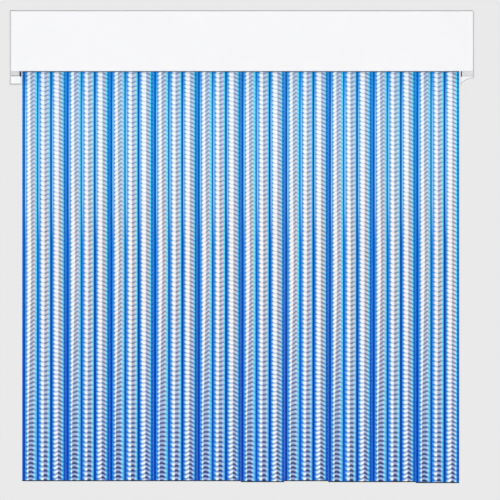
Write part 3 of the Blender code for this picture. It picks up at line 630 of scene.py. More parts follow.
def strip_material(settings, length, hem_drop):
    """Soft glossy PVC: pearly cords with blue webs, partly tinted and partly painted with light and
    shade across each cord and where it meets its webs.
    """
    material, shader, principled = new_material("strip_blue_white_pvc", roughness=0.33)
    above, below, tint, line = map(shader.attribute, ("above", "below", "tint", "line"))
    # Darker tones towards the lower end: painted shade
    lower = shader.spread(above, LOW_TONES_FROM * length, 0.0)
    lower = shader.maths("MULTIPLY", lower, lower)
    middle = shader.spread(shader.distance(above, length / 2), *spread_out(length, GREYED_REACH))
    faces = []
    for tones, low_tones in ((CREST_TONES, LOW_CREST_TONES), (GROOVE_TONES, LOW_GROOVE_TONES)):
        greyed = [(share, GREYED_TONES.get(tone, tone)) for share, tone in tones]
        plain, grey, low = (tone_ramp(shader, settings, tint, row)
                            for row in (tones, greyed, low_tones))
        faces.append(shader.mix(lower, shader.mix(middle, plain, grey), low))
    # Painted shade in the grooves of the ridges, on the cords and on the webs
    beside = shader.maths("PINGPONG", shader.attribute("turn"), 0.5)
    width = shader.spread(lower, 0, 1, *GROOVE_WIDTHS)
    groove_shade = shader.spread(shader.maths("DIVIDE", beside, width), 1.0, GROOVE_CORE)
    groove_shade = shader.maths("MULTIPLY", groove_shade, shader.attribute("mark"))
    # The webs darken towards the lower end as painted shade
    deep = shader.spread(above, length, DEEP_BLUE_BELOW * length)
    web = shader.mix(deep, settings.blue, settings.deep_blue)
    # Navy in the webs' grooves and along dark lines is painted shade, and azure along pale lines a
    # painted highlight
    web = shader.mix(groove_shade, web, settings.navy)
    web = shader.mix(shader.spread(line, 0, 1), web, settings.navy)
    web = shader.mix(shader.spread(line, 0, -1), web, settings.azure)
    tone = shader.mix(shader.attribute("cord"), web, shader.mix(groove_shade, *faces))
    glint = shader.spread(shader.distance(below, hem_drop + GLINT_DROP), *GLINT_REACH,
                          0, GLINT_STRENGTH)
    glint = shader.maths("MULTIPLY", shader.attribute("foot"), glint)
    tone = shader.mix(glint, tone, settings.glint)
    mottle = shader.effect("cloud_and_grain", Cloud_scale=60.0, Grain_scale=1200.0)
    cloud = shader.maths("MULTIPLY", mottle["Cloud"], CLOUD_STRENGTH)
    tone = shader.mix(cloud, tone, settings.navy)
    # Painted shadow of the pelmet's hem on the strips, joined with the dark band at the cut lower
    # end
    hem_shadow = shader.spread(shader.distance(below, hem_drop - HEM_SHADOW_RISE), *HEM_SHADOW_REACH,
                           0, HEM_SHADOW_STRENGTH)
    edge = shader.maths("MAXIMUM", shader.spread(above, *CUT_EDGE_REACH), hem_shadow)
    tone = shader.mix(edge, tone, settings.dark_edge_and_hem_shadow)
    link_finish(shader, principled, tone, mottle["Cloud"], STRIP_ROUGHNESS,
                mottle["Grain"], strength=0.15, depth=0.05 * MM)
    principled.inputs["Specular IOR Level"].default_value = STRIP_GLOSS
    return material


FRONT, BACK = -1, 1
# One upright row of points: place, way out, turns of the ridges high up and low down, share
# across the cord, which cord, share of the ridges' height, and marks for the material
Column = namedtuple("Column", "x y out_x out_y twist low_twist across which "
                    "lift cord mark line foot", defaults=(0,) * 5)
# How the ridges of each cord lean: turns at shares of its width, high up and low down
RidgePath = namedtuple("RidgePath", "shares turns low_turns")
RIDGE_PATHS = (
    RidgePath((0, 0.1, 0.2, 0.3, 0.5, 0.6, 0.7, 0.85, 1),
              (0, 0.02, 0, -0.28, -0.47, -0.59, -0.97, -1.0, -0.7),
              (0, 0.25, 0.2, -0.1, -0.15, -0.1, 0, 0.1, 0.2)),
    RidgePath((0, 0.12, 0.2, 0.3, 0.4, 0.55, 0.65, 0.75, 0.85, 1),
              (0, 0, 0.05, 0.15, 0.22, 0.25, 0.22, 0.09, -0.06, 0),
              (0, 0.1, 0.22, 0.30, 0.2, 0, 0.04, 0.15, 0.2, 0.32)),
    RidgePath((0, 0.2, 0.32, 0.5, 0.6, 0.7, 0.8, 0.9, 1),
              (0, 0, 0.2, 0.2, 0.2, 0.42, 0.42, 0.52, 0.75),
              (0.05, 0.2, 0.02, -0.2, -0.28, -0.16, 0.07, 0.16, 0.25)))
# Shares of the length between which the first of those paths turns into the second
PATH_CHANGE = (0.68, 0.95)
BACK_TURNS = 1.0  # turns that the ridges make across a cord's back
SPARE_TURNS = 3  # ridges past each end of a strip, cut off with the ends
# Share of a pitch from one groove to the next, and height between groove and crest there
RIDGE_ROWS = ((0.0, 0.0), (0.16, 0.75), (0.5, 1.0), (0.84, 0.75))
ARC_SAMPLES = 181
# Share of the ridges' height at a cord's two edges, and how fast it grows inwards
EDGE_LIFT, LIFT_SLOPE = 0.45, 6.4
# Share of each cord's width at which its shade begins, at these shares of the length
SHADE_DROPS = (0.0, 0.24, 0.48, 0.70, 0.83, 1.0)
SHADE_SHARES = ((0.42, 0.46, 0.54, 0.38, 0.27, 0.26), (0.48, 0.50, 0.52, 0.48, 0.44, 0.43),
                (0.59, 0.59, 0.57, 0.55, 0.53, 0.52))
SHADE_TINT = 0.5
# Share of each cord's width that its left flank takes, and the tint at the flank's end
FLANK_WIDTHS = (0.19, 0.21, 0.17)
FLANK_TINT = 0.21
# Shares of the width between which the ridges' mark fades, and each cord's mark beyond them
FLANK_FADE = (0.78, 0.90)
FLANK_MARKS = (0.3, 0.3, 0.75)
FLAT_MARK = 0.3
HOLLOW_TINT = 0.36
# The glint runs from this share of a web's width to this share of the next cord's
WEB_FOOT, CORD_FOOT = 0.8, 0.05
# A painted highlight along each strip's left edge
LEFT_EDGE_LINE = -0.3
# Points across the flat parts: share of the width, dip, line, likeness to a cord, and a mark
# where it isn't the usual one. A line over 0 is painted shade, and one under 0 a painted highlight.
WEB_SECTIONS = (((0.10, 0.0, 0.0, 1.0), (0.22, 0.0, 0.2, 0.5), (0.42, 1.0, 0.8, 0.0),
                 (0.62, 0.4, 0.3, 0.0), (0.88, 0.0, -0.3, 0.0)),
                ((0.10, 0.0, -0.2, 0.6), (0.26, 0.0, 0.5, 0.0), (0.5, 1.0, 0.9, 0.0),
                 (0.72, 0.0, 0.4, 0.0), (0.90, 0.0, -0.2, 0.0)))
LEFT_RIM_SECTION = ((0.06, 0.5, -0.3, 0.0), (0.25, 0.0, 0.1, 0.0), (0.48, 0.5, 0.6, 0.0),
                    (0.62, 1.0, 1.0, 0.0), (0.76, 0.0, 0.0, 0.0), (0.90, -0.6, -1.0, 0.0))
RIGHT_RIM_SECTION = ((0.12, 0.0, 0.0, 0.8), (0.35, 1.0, 0.6, 0.0), (0.55, 0.6, 0.4, 0.0),
                     (0.70, 0.0, -0.1, 0.3, 1.0), (0.84, 0.5, 0.3, 0.0))
BACK_WEB_SECTION = ((0.35, 0.0, 0.4, 0.0), (0.65, 0.0, 0.4, 0.0))
BACK_RIM_SECTION = ((0.5, 0.0, 0.4, 0.0),)
MARKS = ("turn", "tint", "cord", "mark", "line", "foot", "above", "below")
CORD_ANGLE = math.radians(85)


class StripSection:
    """Columns round the section of a strip, from its left edge over the front and back."""

    def __init__(self, settings, width):
        self.settings = settings
        self.half = width / 2
        self.half_web = settings.web_thickness / 2
        self.radii = (settings.cord_width / 2, settings.cord_depth / 2)
        meeting = math.asin(self.half_web / self.radii[1])
        reach = self.radii[0] * math.cos(meeting)
        first = -self.half + settings.left_rim + self.radii[0]
        step = settings.cord_width + settings.web_width
        self.centres = [first + index * step for index in range(3)]
        self.ends = [(centre - reach, centre + reach) for centre in self.centres]
        self.turns = np.linspace(math.pi - meeting, meeting, ARC_SAMPLES)
        arcs = np.hypot(np.diff(self.radii[0] * np.cos(self.turns)),
                        np.diff(self.radii[1] * np.sin(self.turns)))
        self.arcs = np.concatenate(([0], np.cumsum(arcs)))
        self.arcs /= self.arcs[-1]

    def flat(self, span, section, twists, side):
        """Columns across a web or rim."""
        columns = []
        for share, dip, line, cord, *mark in section:
            x = span[0] + (span[1] - span[0]) * share
            y = side * (self.half_web - dip * self.settings.rib_groove)
            after = sum(x > ends[1] for ends in self.ends)
            across = 1 if after and (after == 3 or share < 0.5) else 0
            foot = float(side == FRONT and after < 3 and share > WEB_FOOT)
            columns.append(Column(x, y, 0, side, *twists, across, max(after - 1, 0), 0, cord,
                                  mark[0] if mark else FLAT_MARK, line, foot))
        return columns

    def cord(self, index, side, start=(0, 0)):
        """Columns across the front of a cord from the left, or its back from the right."""
        path = RIDGE_PATHS[index]
        low, high = self.ends[index]
        steps = self.settings.cord_steps if side == FRONT else self.settings.cord_steps // 2
        columns = []
        for share in np.linspace(0, 1, steps + 1):
            turn = np.interp(share if side == FRONT else 1 - share, self.arcs, self.turns)
            cosine, sine = math.cos(turn), math.sin(turn)
            x = self.centres[index] + self.radii[0] * cosine
            out = Vector((cosine / self.radii[0], side * sine / self.radii[1])).normalized()
            across = (x - low) / (high - low)
            twists = [twist + BACK_TURNS * share for twist in start]
            if side == FRONT:
                twists = [np.interp(across, path.shares, row) for row in path[1:]]
            lift = min(1, EDGE_LIFT + LIFT_SLOPE * min(share, 1 - share))
            mark = float(np.interp(across, FLANK_FADE, (1, FLANK_MARKS[index])))
            foot = float(side == FRONT and share < CORD_FOOT)
            columns.append(Column(x, side * self.radii[1] * sine, *out, *twists, across, index,
                                  lift, 1, mark, 0, foot))
        return columns

    def sheets(self):
        """The section's columns in four groups, each with the cord whose ridges it follows."""
        starts = [(path.turns[0], path.low_turns[0]) for path in RIDGE_PATHS]
        stops = [(path.turns[-1], path.low_turns[-1]) for path in RIDGE_PATHS]
        webs = []
        for index in (0, 1):
            span = (self.ends[index][1], self.ends[index + 1][0])
            for section, side in ((WEB_SECTIONS[index], FRONT), (BACK_WEB_SECTION, BACK)):
                before = [row for row in section if row[0] < 0.5]
                beyond = [row for row in section if row[0] >= 0.5]
                webs.append((self.flat(span, before, stops[index], side),
                             self.flat(span, beyond, starts[index + 1], side)))
        (web_1, web_2), (back_1, back_2), (web_3, web_4), (back_3, back_4) = webs
        left_rim = (-self.half, self.ends[0][0])
        right_rim = (self.ends[2][1], self.half)
        unwound = (-BACK_TURNS, -BACK_TURNS)
        wound = [stop + BACK_TURNS for stop in stops[2]]
        left = (self.retwisted(back_1, unwound) + self.cord(0, BACK, unwound)
                + self.flat(left_rim[::-1], BACK_RIM_SECTION, (0, 0), BACK)
                + [Column(-self.half, 0, -1, 0, 0, 0, 0, 0, line=LEFT_EDGE_LINE)]
                + self.flat(left_rim, LEFT_RIM_SECTION, (0, 0), FRONT)
                + self.cord(0, FRONT) + web_1)
        middle = web_2 + self.cord(1, FRONT) + web_3
        right = (web_4 + self.cord(2, FRONT)
                 + self.flat(right_rim, RIGHT_RIM_SECTION, stops[2], FRONT)
                 + [Column(self.half, 0, 1, 0, *stops[2], 1, 2)]
                 + self.flat(right_rim[::-1], BACK_RIM_SECTION, stops[2], BACK)
                 + self.cord(2, BACK, stops[2]) + self.retwisted(back_4, wound))
        behind = (self.retwisted(back_3, (0, 0)) + self.cord(1, BACK)
                  + self.retwisted(back_2, (BACK_TURNS, BACK_TURNS)))
        for columns in (left, middle, right, behind):
            for end in (0, -1):
                columns[end] = columns[end]._replace(mark=0)
        return ((0, left), (1, middle), (2, right), (1, behind))

    @staticmethod
    def retwisted(columns, twists):
        """The columns with another start of their ridges."""
        return [column._replace(twist=twists[0], low_twist=twists[1]) for column in columns]


def sheet_points(settings, cord_index, columns, length):
    """Places, relative to the strip's top, and marks of one group of columns."""
    row = Column(*np.array(columns).T)
    first_pitch = settings.top_pitches[cord_index]
    growth = (settings.bottom_pitches[cord_index] - first_pitch) / length

    def drop_after(turns):
        return first_pitch * np.expm1(growth * turns) / growth

    last = math.log(1 + growth * length / first_pitch) / growth
    turns = np.arange(-SPARE_TURNS, int(last) + 1 + SPARE_TURNS)
    shares, levels = np.array(RIDGE_ROWS).T
    phases = (turns[:, None] + shares).ravel()[:, None]
    heights = (np.tile(levels, len(turns)) * (settings.crest_height + settings.groove_depth)
               - settings.groove_depth)
    lowness = np.interp(drop_after(phases) / length, PATH_CHANGE, (0, 1))
    drop = drop_after(phases + (row.twist + (row.low_twist - row.twist) * lowness))
    pressed = np.clip(drop / settings.pressed_length, 0, 1)
    pressed = pressed * pressed * (3 - 2 * pressed)
    raised = heights[:, None] * row.lift * pressed
    half_pressed = settings.pressed_thickness / 2
    thin = np.clip(row.y, -half_pressed, half_pressed)
    places = np.stack((row.x + row.out_x * raised,
                       thin + (row.y - thin) * pressed + row.out_y * raised, -drop), axis=-1)
    which = row.which.astype(int)
    shade = np.choose(which, [np.interp(drop / length, SHADE_DROPS, starts)
                              for starts in SHADE_SHARES])
    flank = np.array(FLANK_WIDTHS)[which]
    lit = FLANK_TINT + (SHADE_TINT - FLANK_TINT) * (row.across - flank) / (shade - flank)
    tint = np.where(row.across < flank, FLANK_TINT * row.across / flank, lit)
    shaded_tint = 1 - (1 - SHADE_TINT) * (1 - row.across) / (1 - shade)
    tint = np.where(row.across < shade, tint, shaded_tint)
    marks = (phases, tint, row.cord, row.mark, row.line, row.foot, length - drop, drop)
    return places, [np.broadcast_to(values, drop.shape) for values in marks]


def zipped_faces(first, second, heights):
    """Triangles between two upright rows of points, each listed from the top down."""
    faces = []
    left = right = 0
    while left < len(first) - 1 or right < len(second) - 1:
        if right == len(second) - 1 or (left < len(first) - 1 and heights[first[left + 1]]
                                        > heights[second[right + 1]]):
            faces.append((first[left], second[right], first[left + 1]))
            left += 1
        else:
            faces.append((first[left], second[right], second[right + 1]))
            right += 1
    return faces


def strip_mesh(settings, name, width, top, bottom):
    """A strip with its twisted ridges, between two heights."""
    section = StripSection(settings, width)
    points, marks, grids, faces = [], [], [], []
    count = 0
    for cord_index, columns in section.sheets():
        places, values = sheet_points(settings, cord_index, columns, top - bottom)
        grid = count + np.arange(places[..., 0].size).reshape(places.shape[:2])
        count += grid.size
        points.append(places.reshape(-1, 3) + (0, 0, top))
        marks.append(np.stack([value.ravel() for value in values]))
        grids.append(grid)
        quads = np.stack((grid[:-1, :-1], grid[:-1, 1:], grid[1:, 1:], grid[1:, :-1]), axis=-1)
        faces += quads.reshape(-1, 4).tolist()
    points = np.concatenate(points)
    for grid, beside in zip(grids, grids[1:] + grids[:1]):
        faces += zipped_faces(grid[:, -1].tolist(), beside[:, 0].tolist(), points[:, 2])
    mesh = bpy.data.meshes.new(name)
    mesh.from_pydata(points.tolist(), [], faces)
    for label, numbers in zip(MARKS, np.concatenate(marks, axis=1)):
        attribute = mesh.attributes.new(label, "FLOAT", "POINT")
        attribute.data.foreach_set("value", numbers.astype(np.float32))
    return trimmed_strip(settings, mesh, name, section, top, bottom)


def trimmed_strip(settings, sheet, name, section, top, bottom):
    """Cut the sheet off at its two ends, add the cords' hollows and close the ends."""
    work = bmesh.new()
    work.from_mesh(sheet)
    bpy.data.meshes.remove(sheet)
    for height, up in ((top, 1), (bottom, -1)):
        geometry = work.verts[:] + work.edges[:] + work.faces[:]
        bmesh.ops.bisect_plane(work, geom=geometry, dist=WELD_DISTANCE, plane_co=(0, 0, height),
                               plane_no=(0, 0, up), clear_outer=True)
    outside = set(work.verts)
    across, deep = (radius - settings.cord_wall for radius in section.radii)
    steps = 2 * settings.cord_steps
    turns = [math.tau * step / steps for step in range(steps)]
    for centre in section.centres:
        lower, upper = ([work.verts.new((centre + across * math.cos(turn),
                                         deep * math.sin(turn), height)) for turn in turns]
                        for height in (bottom, top - settings.pressed_length))
        for step in range(steps):
            beside = (step + 1) % steps
            work.faces.new((lower[step], upper[step], upper[beside], lower[beside]))
        work.faces.new(upper)
    for height in (top, bottom):
        rim = [edge for edge in work.edges if edge.is_boundary
               and all(abs(vert.co.z - height) < WELD_DISTANCE for vert in edge.verts)]
        bmesh.ops.triangle_fill(work, use_beauty=True, use_dissolve=False, edges=rim)
    add_tongue(settings, work, top)
    cord, tint, above, below = (work.verts.layers.float[label]
                                for label in ("cord", "tint", "above", "below"))
    for vert in set(work.verts) - outside:
        vert[cord] = 1
        vert[tint] = HOLLOW_TINT
        vert[above] = vert.co.z - bottom
        vert[below] = top - vert.co.z
    return finish_mesh(work, name, CORD_ANGLE)


def add_tongue(settings, work, top):
    """The pressed top of a strip, narrower than the strip, that the hanger grips."""
    size = Vector((NodeBox("hanger_01").width, settings.pressed_thickness,
                   NodeBox("strip_01").high.z - rod_z() - top))
    made = bmesh.ops.create_cube(work, size=1)["verts"]
    bmesh.ops.scale(work, vec=size, verts=made)
    bmesh.ops.translate(work, vec=(0, 0, top + size.z / 2), verts=made)
    edges = list({edge for vert in made for edge in vert.link_edges})
    bmesh.ops.bevel(work, geom=edges, offset=settings.tongue_edge, segments=EDGE_STEPS,
                    profile=0.5, affect="EDGES")


def rod_z():
    """Height of the rod's axis, about which each strip swings."""
    return NodeBox("swing_rod").middle.z


class CURTAIN_OT_strips(bpy.types.Operator):
    """Build the PVC strips with their twisted cords"""
    bl_idname = "curtain.build_strips"
    bl_label = "Strips"

    def execute(self, context):
        settings = context.scene.curtain_strips
        axis_z = rod_z()
        shoulder = NodeBox("hanger_01").low.z - settings.shoulder_gap - axis_z
        hem_drop = shoulder + axis_z - NodeBox("front_cover").low.z
        length = shoulder - (NodeBox("strip_01").low.z - axis_z)
        material = strip_material(settings, length, hem_drop)
        meshes = {}
        for label in STRIP_LABELS:
            node = f"strip_{label}"
            box = NodeBox(node)
            bottom = box.low.z - axis_z
            key = round(bottom / MM, 1)
            if key not in meshes:
                width = box.width + 2 * settings.edge_stretch
                meshes[key] = strip_mesh(settings, f"{node}_pvc", width, shoulder, bottom)
            add_piece(node, "pvc", meshes[key], f"hanging_strip_{label}",
                      material, (box.middle.x, box.middle.y, axis_z))
        return {"FINISHED"}


class CURTAIN_OT_cover(bpy.types.Operator):
    """Build the pelmet's white front cover"""
    bl_idname = "curtain.build_cover"
    bl_label = "Front cover"

    def execute(self, context):
        settings = context.scene.curtain_head
        material = white_material(settings, "cover_white_pvc", roughness=0.32, cloud=0.015,
                                  grain_scale=700.0, grain_depth=0.04 * MM)
        show_refined("front_cover", "sheet", "cover_white_pvc", material, settings.cover_edge,
                     body="cover", bends=True)
        return {"FINISHED"}


class CURTAIN_OT_brackets(bpy.types.Operator):
    """Build the two moulded end brackets"""
    bl_idname = "curtain.build_brackets"
    bl_label = "End brackets"

    def execute(self, context):
        settings = context.scene.curtain_head
        material = white_material(settings, "bracket_white_pvc", roughness=0.38, cloud=0.02,
                                  grain_scale=1100.0, grain_depth=0.06 * MM)
        for side, swept_radius in (("left", 0), ("right", settings.swept_edge)):
            mesh = show_refined(f"end_bracket_{side}", "moulding", "bracket_white_pvc", material,
                                settings.plastic_edge, swept_radius=swept_radius)
            mark_painted_shade(mesh, FRONT_Y + settings.recess_depth)
        return {"FINISHED"}


LOOKS_FRONT = -0.9  # Y part of a face's normal, below which it looks to the front
RECESS_REACH = 1 * MM
SLOT_Y = -20 * MM


def mark_painted_shade(mesh, recess_y):
    """Mark a bracket's faces at the back of the recess, and those behind the slot beside it, for
    painted shade.
    """
    marks = {"recess": [], "behind": []}
    for face in mesh.polygons:
        ahead = face.normal.y < LOOKS_FRONT
        marks["recess"].append(float(ahead and abs(face.center.y - recess_y) < RECESS_REACH))
        marks["behind"].append(float(ahead and face.center.y > SLOT_Y))
    for label, values in marks.items():
        mesh.attributes.new(label, "FLOAT", "FACE").data.foreach_set("value", values)


class CURTAIN_OT_rail(bpy.types.Operator):
    """Build the aluminium wall rail"""
    bl_idname = "curtain.build_rail"
    bl_label = "Wall rail"

    def execute(self, context):
        settings = context.scene.curtain_head
        material = drawn_metal_material("rail_aluminium", settings.aluminium_colour,
                                        roughness=0.34, line_scale=700.0)
        show_refined("wall_rail", "extrusion", "rail_aluminium", material, settings.metal_edge)
        return {"FINISHED"}


class CURTAIN_OT_rod(bpy.types.Operator):
    """Build the rod with its bushes, collars and spacers"""
    bl_idname = "curtain.build_rod"
    bl_label = "Rod and rings"

    def execute(self, context):
        settings = context.scene.curtain_head
        steel = drawn_metal_material("rod_steel", settings.steel_colour, roughness=0.33,
                                     line_scale=1600.0)
        nylon = plastic_material("grey_nylon", settings.nylon_colour, roughness=0.48,
                                 cloud=0.12, grain_scale=1800.0, grain_depth=0.08 * MM)
        rod = NodeBox("swing_rod")
        profile = rod_profile(rod, settings.rod_chamfer)
        add_piece("swing_rod", "bar", turned_mesh("swing_rod_bar", profile, TO_RIGHT), "head",
                  steel, rod.middle)
        bore = rod.height / 2 + settings.ring_gap
        for node in sorted(NODES):
            box, turn = NodeBox(node), TO_RIGHT
            if node.startswith(("spacer_", "rod_collar_")):
                ending, profile = "ring", ring_profile(bore, box, settings.ring_chamfer)
            elif node.startswith("rod_bush_"):
                ending, profile = "sleeve", bush_profile(bore, box, settings)
                turn = TO_RIGHT if box.middle.x > 0 else TO_LEFT
            else:
                continue
            mesh = turned_mesh(f"{node}_{ending}", profile, turn, closed=True)
            add_piece(node, ending, mesh, "head", nylon, box.middle)
        return {"FINISHED"}


def rod_profile(box, chamfer):
    """Half section of a bar with both ends chamfered."""
    radius, half = box.height / 2, box.width / 2
    return chamfered([(0, -half), (radius, -half), (radius, half), (0, half)], chamfer)


def ring_profile(bore, box, chamfer):
    """Half section of a ring with its edges chamfered and a shallow groove round it."""
    radius, half, groove = box.height / 2, box.width / 2, chamfer / 2
    points = chamfered([(bore, -half), (radius, -half), (radius, half), (bore, half)], chamfer)
    points[4:4] = [(radius, -2 * groove), (radius - groove, -groove), (radius - groove, groove),
                   (radius, 2 * groove)]
    return points


def bush_profile(bore, box, settings):
    """Half section of a sleeve with a flange at its lower end."""
    flange_radius, half = box.height / 2, box.width / 2
    radius = flange_radius - settings.flange_width
    flange = settings.flange_thickness - half
    return chamfered([(bore, -half), (flange_radius, -half), (flange_radius, flange),
                      (radius, flange), (radius, half), (bore, half)], settings.metal_edge)


def model_zinc():
    """The plain zinc finish that the model brings, kept on its hooks, clips and screws."""
    return bpy.data.materials["zinc_steel"]


class CURTAIN_OT_hooks(bpy.types.Operator):
    """Build the hooks that carry the rod and the clips that hold the cover"""
    bl_idname = "curtain.build_hooks"
    bl_label = "Rod hooks and cover clips"

    def execute(self, context):
        edge = context.scene.curtain_head.metal_edge
        for start, ending, radius in (("rod_hook_", "cradle", edge),
                                      ("cover_clip_", "spring", edge / 2)):
            for node in sorted(NODES):
                if node.startswith(start) and "_screw_" not in node:
                    show_refined(node, ending, "zinc_steel", model_zinc(), radius)
        return {"FINISHED"}


class CURTAIN_OT_screws(bpy.types.Operator):
    """Build the screws of the brackets and hooks, with their cross recesses"""
    bl_idname = "curtain.build_screws"
    bl_label = "Screws"

    def execute(self, context):
        settings = context.scene.curtain_head
        nodes = sorted(node for node in NODES if "_screw_" in node)
        mesh = screw_mesh(settings, NodeBox(nodes[0]))
        for node in nodes:
            box = NodeBox(node)
            seat = (box.middle.x, box.low.y + settings.screw_head_height, box.middle.z)
            add_piece(node, "pan_head", mesh, "head", model_zinc(), seat)
        return {"FINISHED"}


# Upright share of a screw's head, and the cross recess as shares of the head and the shank
HEAD_RIM = 0.35
CROSS_LENGTH, CROSS_WIDTH, CROSS_HEIGHT = 1.15, 0.4, 1.1


def screw_mesh(settings, box):
    """Pan-headed screw with a cross recess, its seat at the origin."""
    height, head_radius = settings.screw_head_height, box.height / 2
    radius, reach = settings.shank_radius, height - box.depth
    profile = [(0, reach), (radius / 2, reach), (radius, reach + radius / 2), (radius, 0),
               (head_radius, 0)]
    profile += [(head_radius * across, height * (HEAD_RIM + (1 - HEAD_RIM) * rise))
                for across, rise in quarter_arc(0, QUARTER)]
    mesh = turned_mesh("pan_head_screw", profile, TO_FRONT, sides=40)
    work = bmesh.new()
    size = (head_radius * CROSS_LENGTH, radius * CROSS_WIDTH, height * CROSS_HEIGHT)
    for turned in (0, QUARTER):
        made = bmesh.ops.create_cube(work, size=1)["verts"]
        bmesh.ops.scale(work, vec=size, verts=made)
        bmesh.ops.translate(work, vec=(0, 0, height), verts=made)
        bmesh.ops.rotate(work, matrix=Matrix.Rotation(turned, 3, "Z"), verts=made)
    bmesh.ops.transform(work, matrix=TO_FRONT, verts=work.verts)
    cross = bpy.data.meshes.new("cross_recess")
    work.to_mesh(cross)
    work.free()
    return carved_mesh(mesh, cross)


def carved_mesh(mesh, tool_mesh):
    """A mesh with the shape of another cut out of it."""
    part = bpy.data.objects.new("carved", mesh)
    tool = bpy.data.objects.new("carving_tool", tool_mesh)
    for piece in (part, tool):
        bpy.context.scene.collection.objects.link(piece)
    cut = part.modifiers.new("cut", "BOOLEAN")
    cut.operation = "DIFFERENCE"
    cut.object = tool
    cut.solver = "EXACT"
    cut.use_self = True
    graph = bpy.context.evaluated_depsgraph_get()
    result = bpy.data.meshes.new_from_object(part.evaluated_get(graph))
    for piece in (part, tool):
        bpy.data.objects.remove(piece)
    result.shade_smooth()
    result.set_sharp_from_angle(angle=EDGE_ANGLE)
    return result


class CURTAIN_OT_hangers(bpy.types.Operator):
    """Build the hangers with their rivets"""
    bl_idname = "curtain.build_hangers"
    bl_label = "Hangers and rivets"

    def execute(self, context):
        settings = context.scene.curtain_head
        aluminium = drawn_metal_material("hanger_aluminium", settings.aluminium_colour,
                                         roughness=0.38, line_scale=1100.0)
        steel = plated_material("rivet_steel", settings.rivet_colour, roughness=0.22)
        hanger = refined_mesh("hanger_01", "hanger_extrusion", settings.metal_edge)
        hanger.transform(Matrix.Translation(-NodeBox("hanger_01").middle))
        rivet = rivet_mesh(settings, NodeBox("rivet_01"))
        for label in STRIP_LABELS:
            node, body = f"hanger_{label}", f"hanging_strip_{label}"
            even_shading(add_piece(node, "extrusion", hanger, body,
                                   aluminium, NodeBox(node).middle))
            node = f"rivet_{label}"
            add_piece(node, "domed", rivet, body, steel, NodeBox(node).middle)
        return {"FINISHED"}


def rivet_mesh(settings, box):
    """Rivet with a domed head at each end, its axis front to back."""
    half, height = box.depth / 2, settings.rivet_head_height
    front = [(box.height / 2 * across, half - height + height * rise)
             for across, rise in quarter_arc(QUARTER, 0)]
    front.append((settings.shank_radius, half - height))
    back = [(radius, -along) for radius, along in reversed(front)]
    return turned_mesh("domed_rivet", front + back, TO_FRONT, sides=32)


# Each lamp's turn left of the camera and rise above level in degrees, and its size in metres
Lamp = namedtuple("Lamp", "name power turn rise size in_gloss")
LAMPS = (Lamp("key", "key_power", 3, 4.4, (3, 0.25), False),
         Lamp("sheen", "sheen_power", 26, -2, (0.6, 3), True),
         Lamp("back", "back_power", 180, 4, (6, 2), False),
         Lamp("left", "side_power", 98, 4, (4, 2), False),
         Lamp("right", "side_power", -98, 4, (4, 2), False),
         Lamp("top", "top_power", 180, 70, (4, 2), False))


class CURTAIN_OT_stage(bpy.types.Operator):
    """Build the camera, the lights and the floor"""
    bl_idname = "curtain.build_stage"
    bl_label = "Stage"

    def execute(self, context):
        settings = context.scene.curtain_stage
        context.scene.view_settings.view_transform = "Standard"
        add_camera(settings)
        for values in LAMPS:
            add_lamp(settings, values)
        light_world(settings)
        add_floor(settings)
        return {"FINISHED"}


def add_to_stage(name, data):
    """Link a new object of the stage to the scene."""
    thing = bpy.data.objects.new(name, data)
    bpy.context.scene.collection.objects.link(thing)
    return thing


def add_camera(settings):
    """A far camera straight in front, which takes in the picture's width at the pelmet."""
    data = bpy.data.cameras.new("camera")
    data.lens = data.sensor_width * settings.camera_distance / settings.picture_width
    camera = add_to_stage("camera", data)
    camera.location = (settings.aim_x, FRONT_Y - settings.camera_distance, settings.aim_z)
    camera.rotation_euler = (QUARTER, 0, 0)
    bpy.context.scene.camera = camera


def add_lamp(settings, values):
    """A flat lamp, aimed at the curtain."""
    turn, rise = math.radians(values.turn), math.radians(values.rise)
    towards = Vector((-math.sin(turn) * math.cos(rise), -math.cos(turn) * math.cos(rise),
                      math.sin(rise)))
    data = bpy.data.lights.new(values.name, "AREA")
    data.shape = "RECTANGLE"
    data.energy = getattr(settings, values.power)
    data.size, data.size_y = values.size
    lamp = add_to_stage(values.name, data)
    lamp.location = Vector((0, FRONT_Y, settings.aim_z)) + towards * settings.lamp_distance
    lamp.rotation_euler = towards.to_track_quat("Z", "Y").to_euler()
    lamp.visible_camera = False
    lamp.visible_glossy = values.in_gloss


def light_world(settings):
    """Even white light from all round, which shows directly as the backdrop's grey."""
    world = bpy.data.worlds.new("studio")
    bpy.context.scene.world = world
    world.use_nodes = True
    shader = ShaderTree(world.node_tree)
    background = world.node_tree.nodes["Background"].inputs
    background["Color"].default_value = (1, 1, 1, 1)
    strength = shader.spread(shown_directly(shader), 0, 1, settings.sky_strength,
                             settings.backdrop_grey)
    shader.link(strength, background["Strength"])


def add_floor(settings):
    """A wide floor that shows the backdrop's grey with the object's shadow on it."""
    work = bmesh.new()
    bmesh.ops.create_grid(work, x_segments=1, y_segments=1, size=settings.floor_width / 2)
    mesh = bpy.data.meshes.new("floor")
    work.to_mesh(mesh)
    work.free()
    floor = add_to_stage("floor", mesh)
    floor.location.z = MODEL_BOX[0].z - settings.floor_drop
    material, shader, principled = new_material("floor", roughness=0.9)
    principled.inputs["Base Color"].default_value = shaded((1, 1, 1), settings.floor_grey)
    glow = shader.add("ShaderNodeEmission")
    glow.inputs["Color"].default_value = shaded((1, 1, 1), settings.backdrop_grey)
    shown = shader.maths("MULTIPLY", shown_directly(shader), settings.floor_glow)
    from_above = mixed_shader(shader, shown, principled.outputs["BSDF"], glow.outputs["Emission"])
    clear = shader.add("ShaderNodeBsdfTransparent").outputs["BSDF"]
    underside = shader.add("ShaderNodeNewGeometry").outputs["Backfacing"]
    surface = material.node_tree.nodes["Material Output"].inputs["Surface"]
    shader.link(mixed_shader(shader, underside, from_above, clear), surface)
    mesh.materials.append(material)


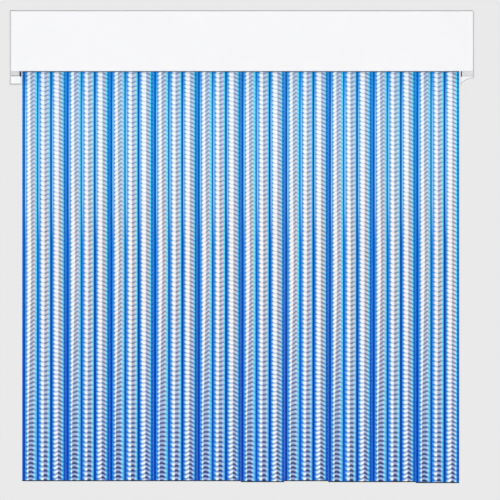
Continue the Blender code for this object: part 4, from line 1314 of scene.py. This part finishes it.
def mixed_shader(shader, share, first, second):
    """The second shader over the first by a share."""
    node = shader.add("ShaderNodeMixShader")
    shader.fill(node.inputs, (share, first, second))
    return node.outputs["Shader"]


def shown_directly(shader):
    """1 where a ray comes from the camera or off a glossy or clear surface, else 0."""
    path = shader.add("ShaderNodeLightPath").outputs
    first = shader.maths("MAXIMUM", path["Is Camera Ray"], path["Is Glossy Ray"])
    return shader.maths("MAXIMUM", first, path["Is Transmission Ray"])


class CURTAIN_PT_panel(bpy.types.Panel):
    """Buttons for the pieces of the door curtain"""
    bl_label = "Door curtain"
    bl_idname = "CURTAIN_PT_panel"
    bl_space_type = "VIEW_3D"
    bl_region_type = "UI"
    bl_category = "Door curtain"

    def draw(self, context):
        for operator in OPERATORS:
            self.layout.operator(operator.bl_idname)


OPERATORS = (CURTAIN_OT_cover, CURTAIN_OT_brackets, CURTAIN_OT_rail, CURTAIN_OT_rod,
             CURTAIN_OT_hooks, CURTAIN_OT_screws, CURTAIN_OT_hangers, CURTAIN_OT_strips,
             CURTAIN_OT_stage)
SETTINGS = (("curtain_strips", StripSettings), ("curtain_head", HeadSettings),
            ("curtain_stage", StageSettings))


def register():
    for name, group in SETTINGS:
        bpy.utils.register_class(group)
        setattr(bpy.types.Scene, name, PointerProperty(type=group))
    for operator in OPERATORS:
        bpy.utils.register_class(operator)
    bpy.utils.register_class(CURTAIN_PT_panel)


def unregister():
    bpy.utils.unregister_class(CURTAIN_PT_panel)
    for operator in reversed(OPERATORS):
        bpy.utils.unregister_class(operator)
    for name, group in reversed(SETTINGS):
        delattr(bpy.types.Scene, name)
        bpy.utils.unregister_class(group)


def main():
    """Build every piece in order, then the stage."""
    register()
    bpy.ops.curtain.build_cover()
    bpy.ops.curtain.build_brackets()
    bpy.ops.curtain.build_rail()
    bpy.ops.curtain.build_rod()
    bpy.ops.curtain.build_hooks()
    bpy.ops.curtain.build_screws()
    bpy.ops.curtain.build_hangers()
    bpy.ops.curtain.build_strips()
    bpy.ops.curtain.build_stage()


if __name__ == "__main__":
    main()
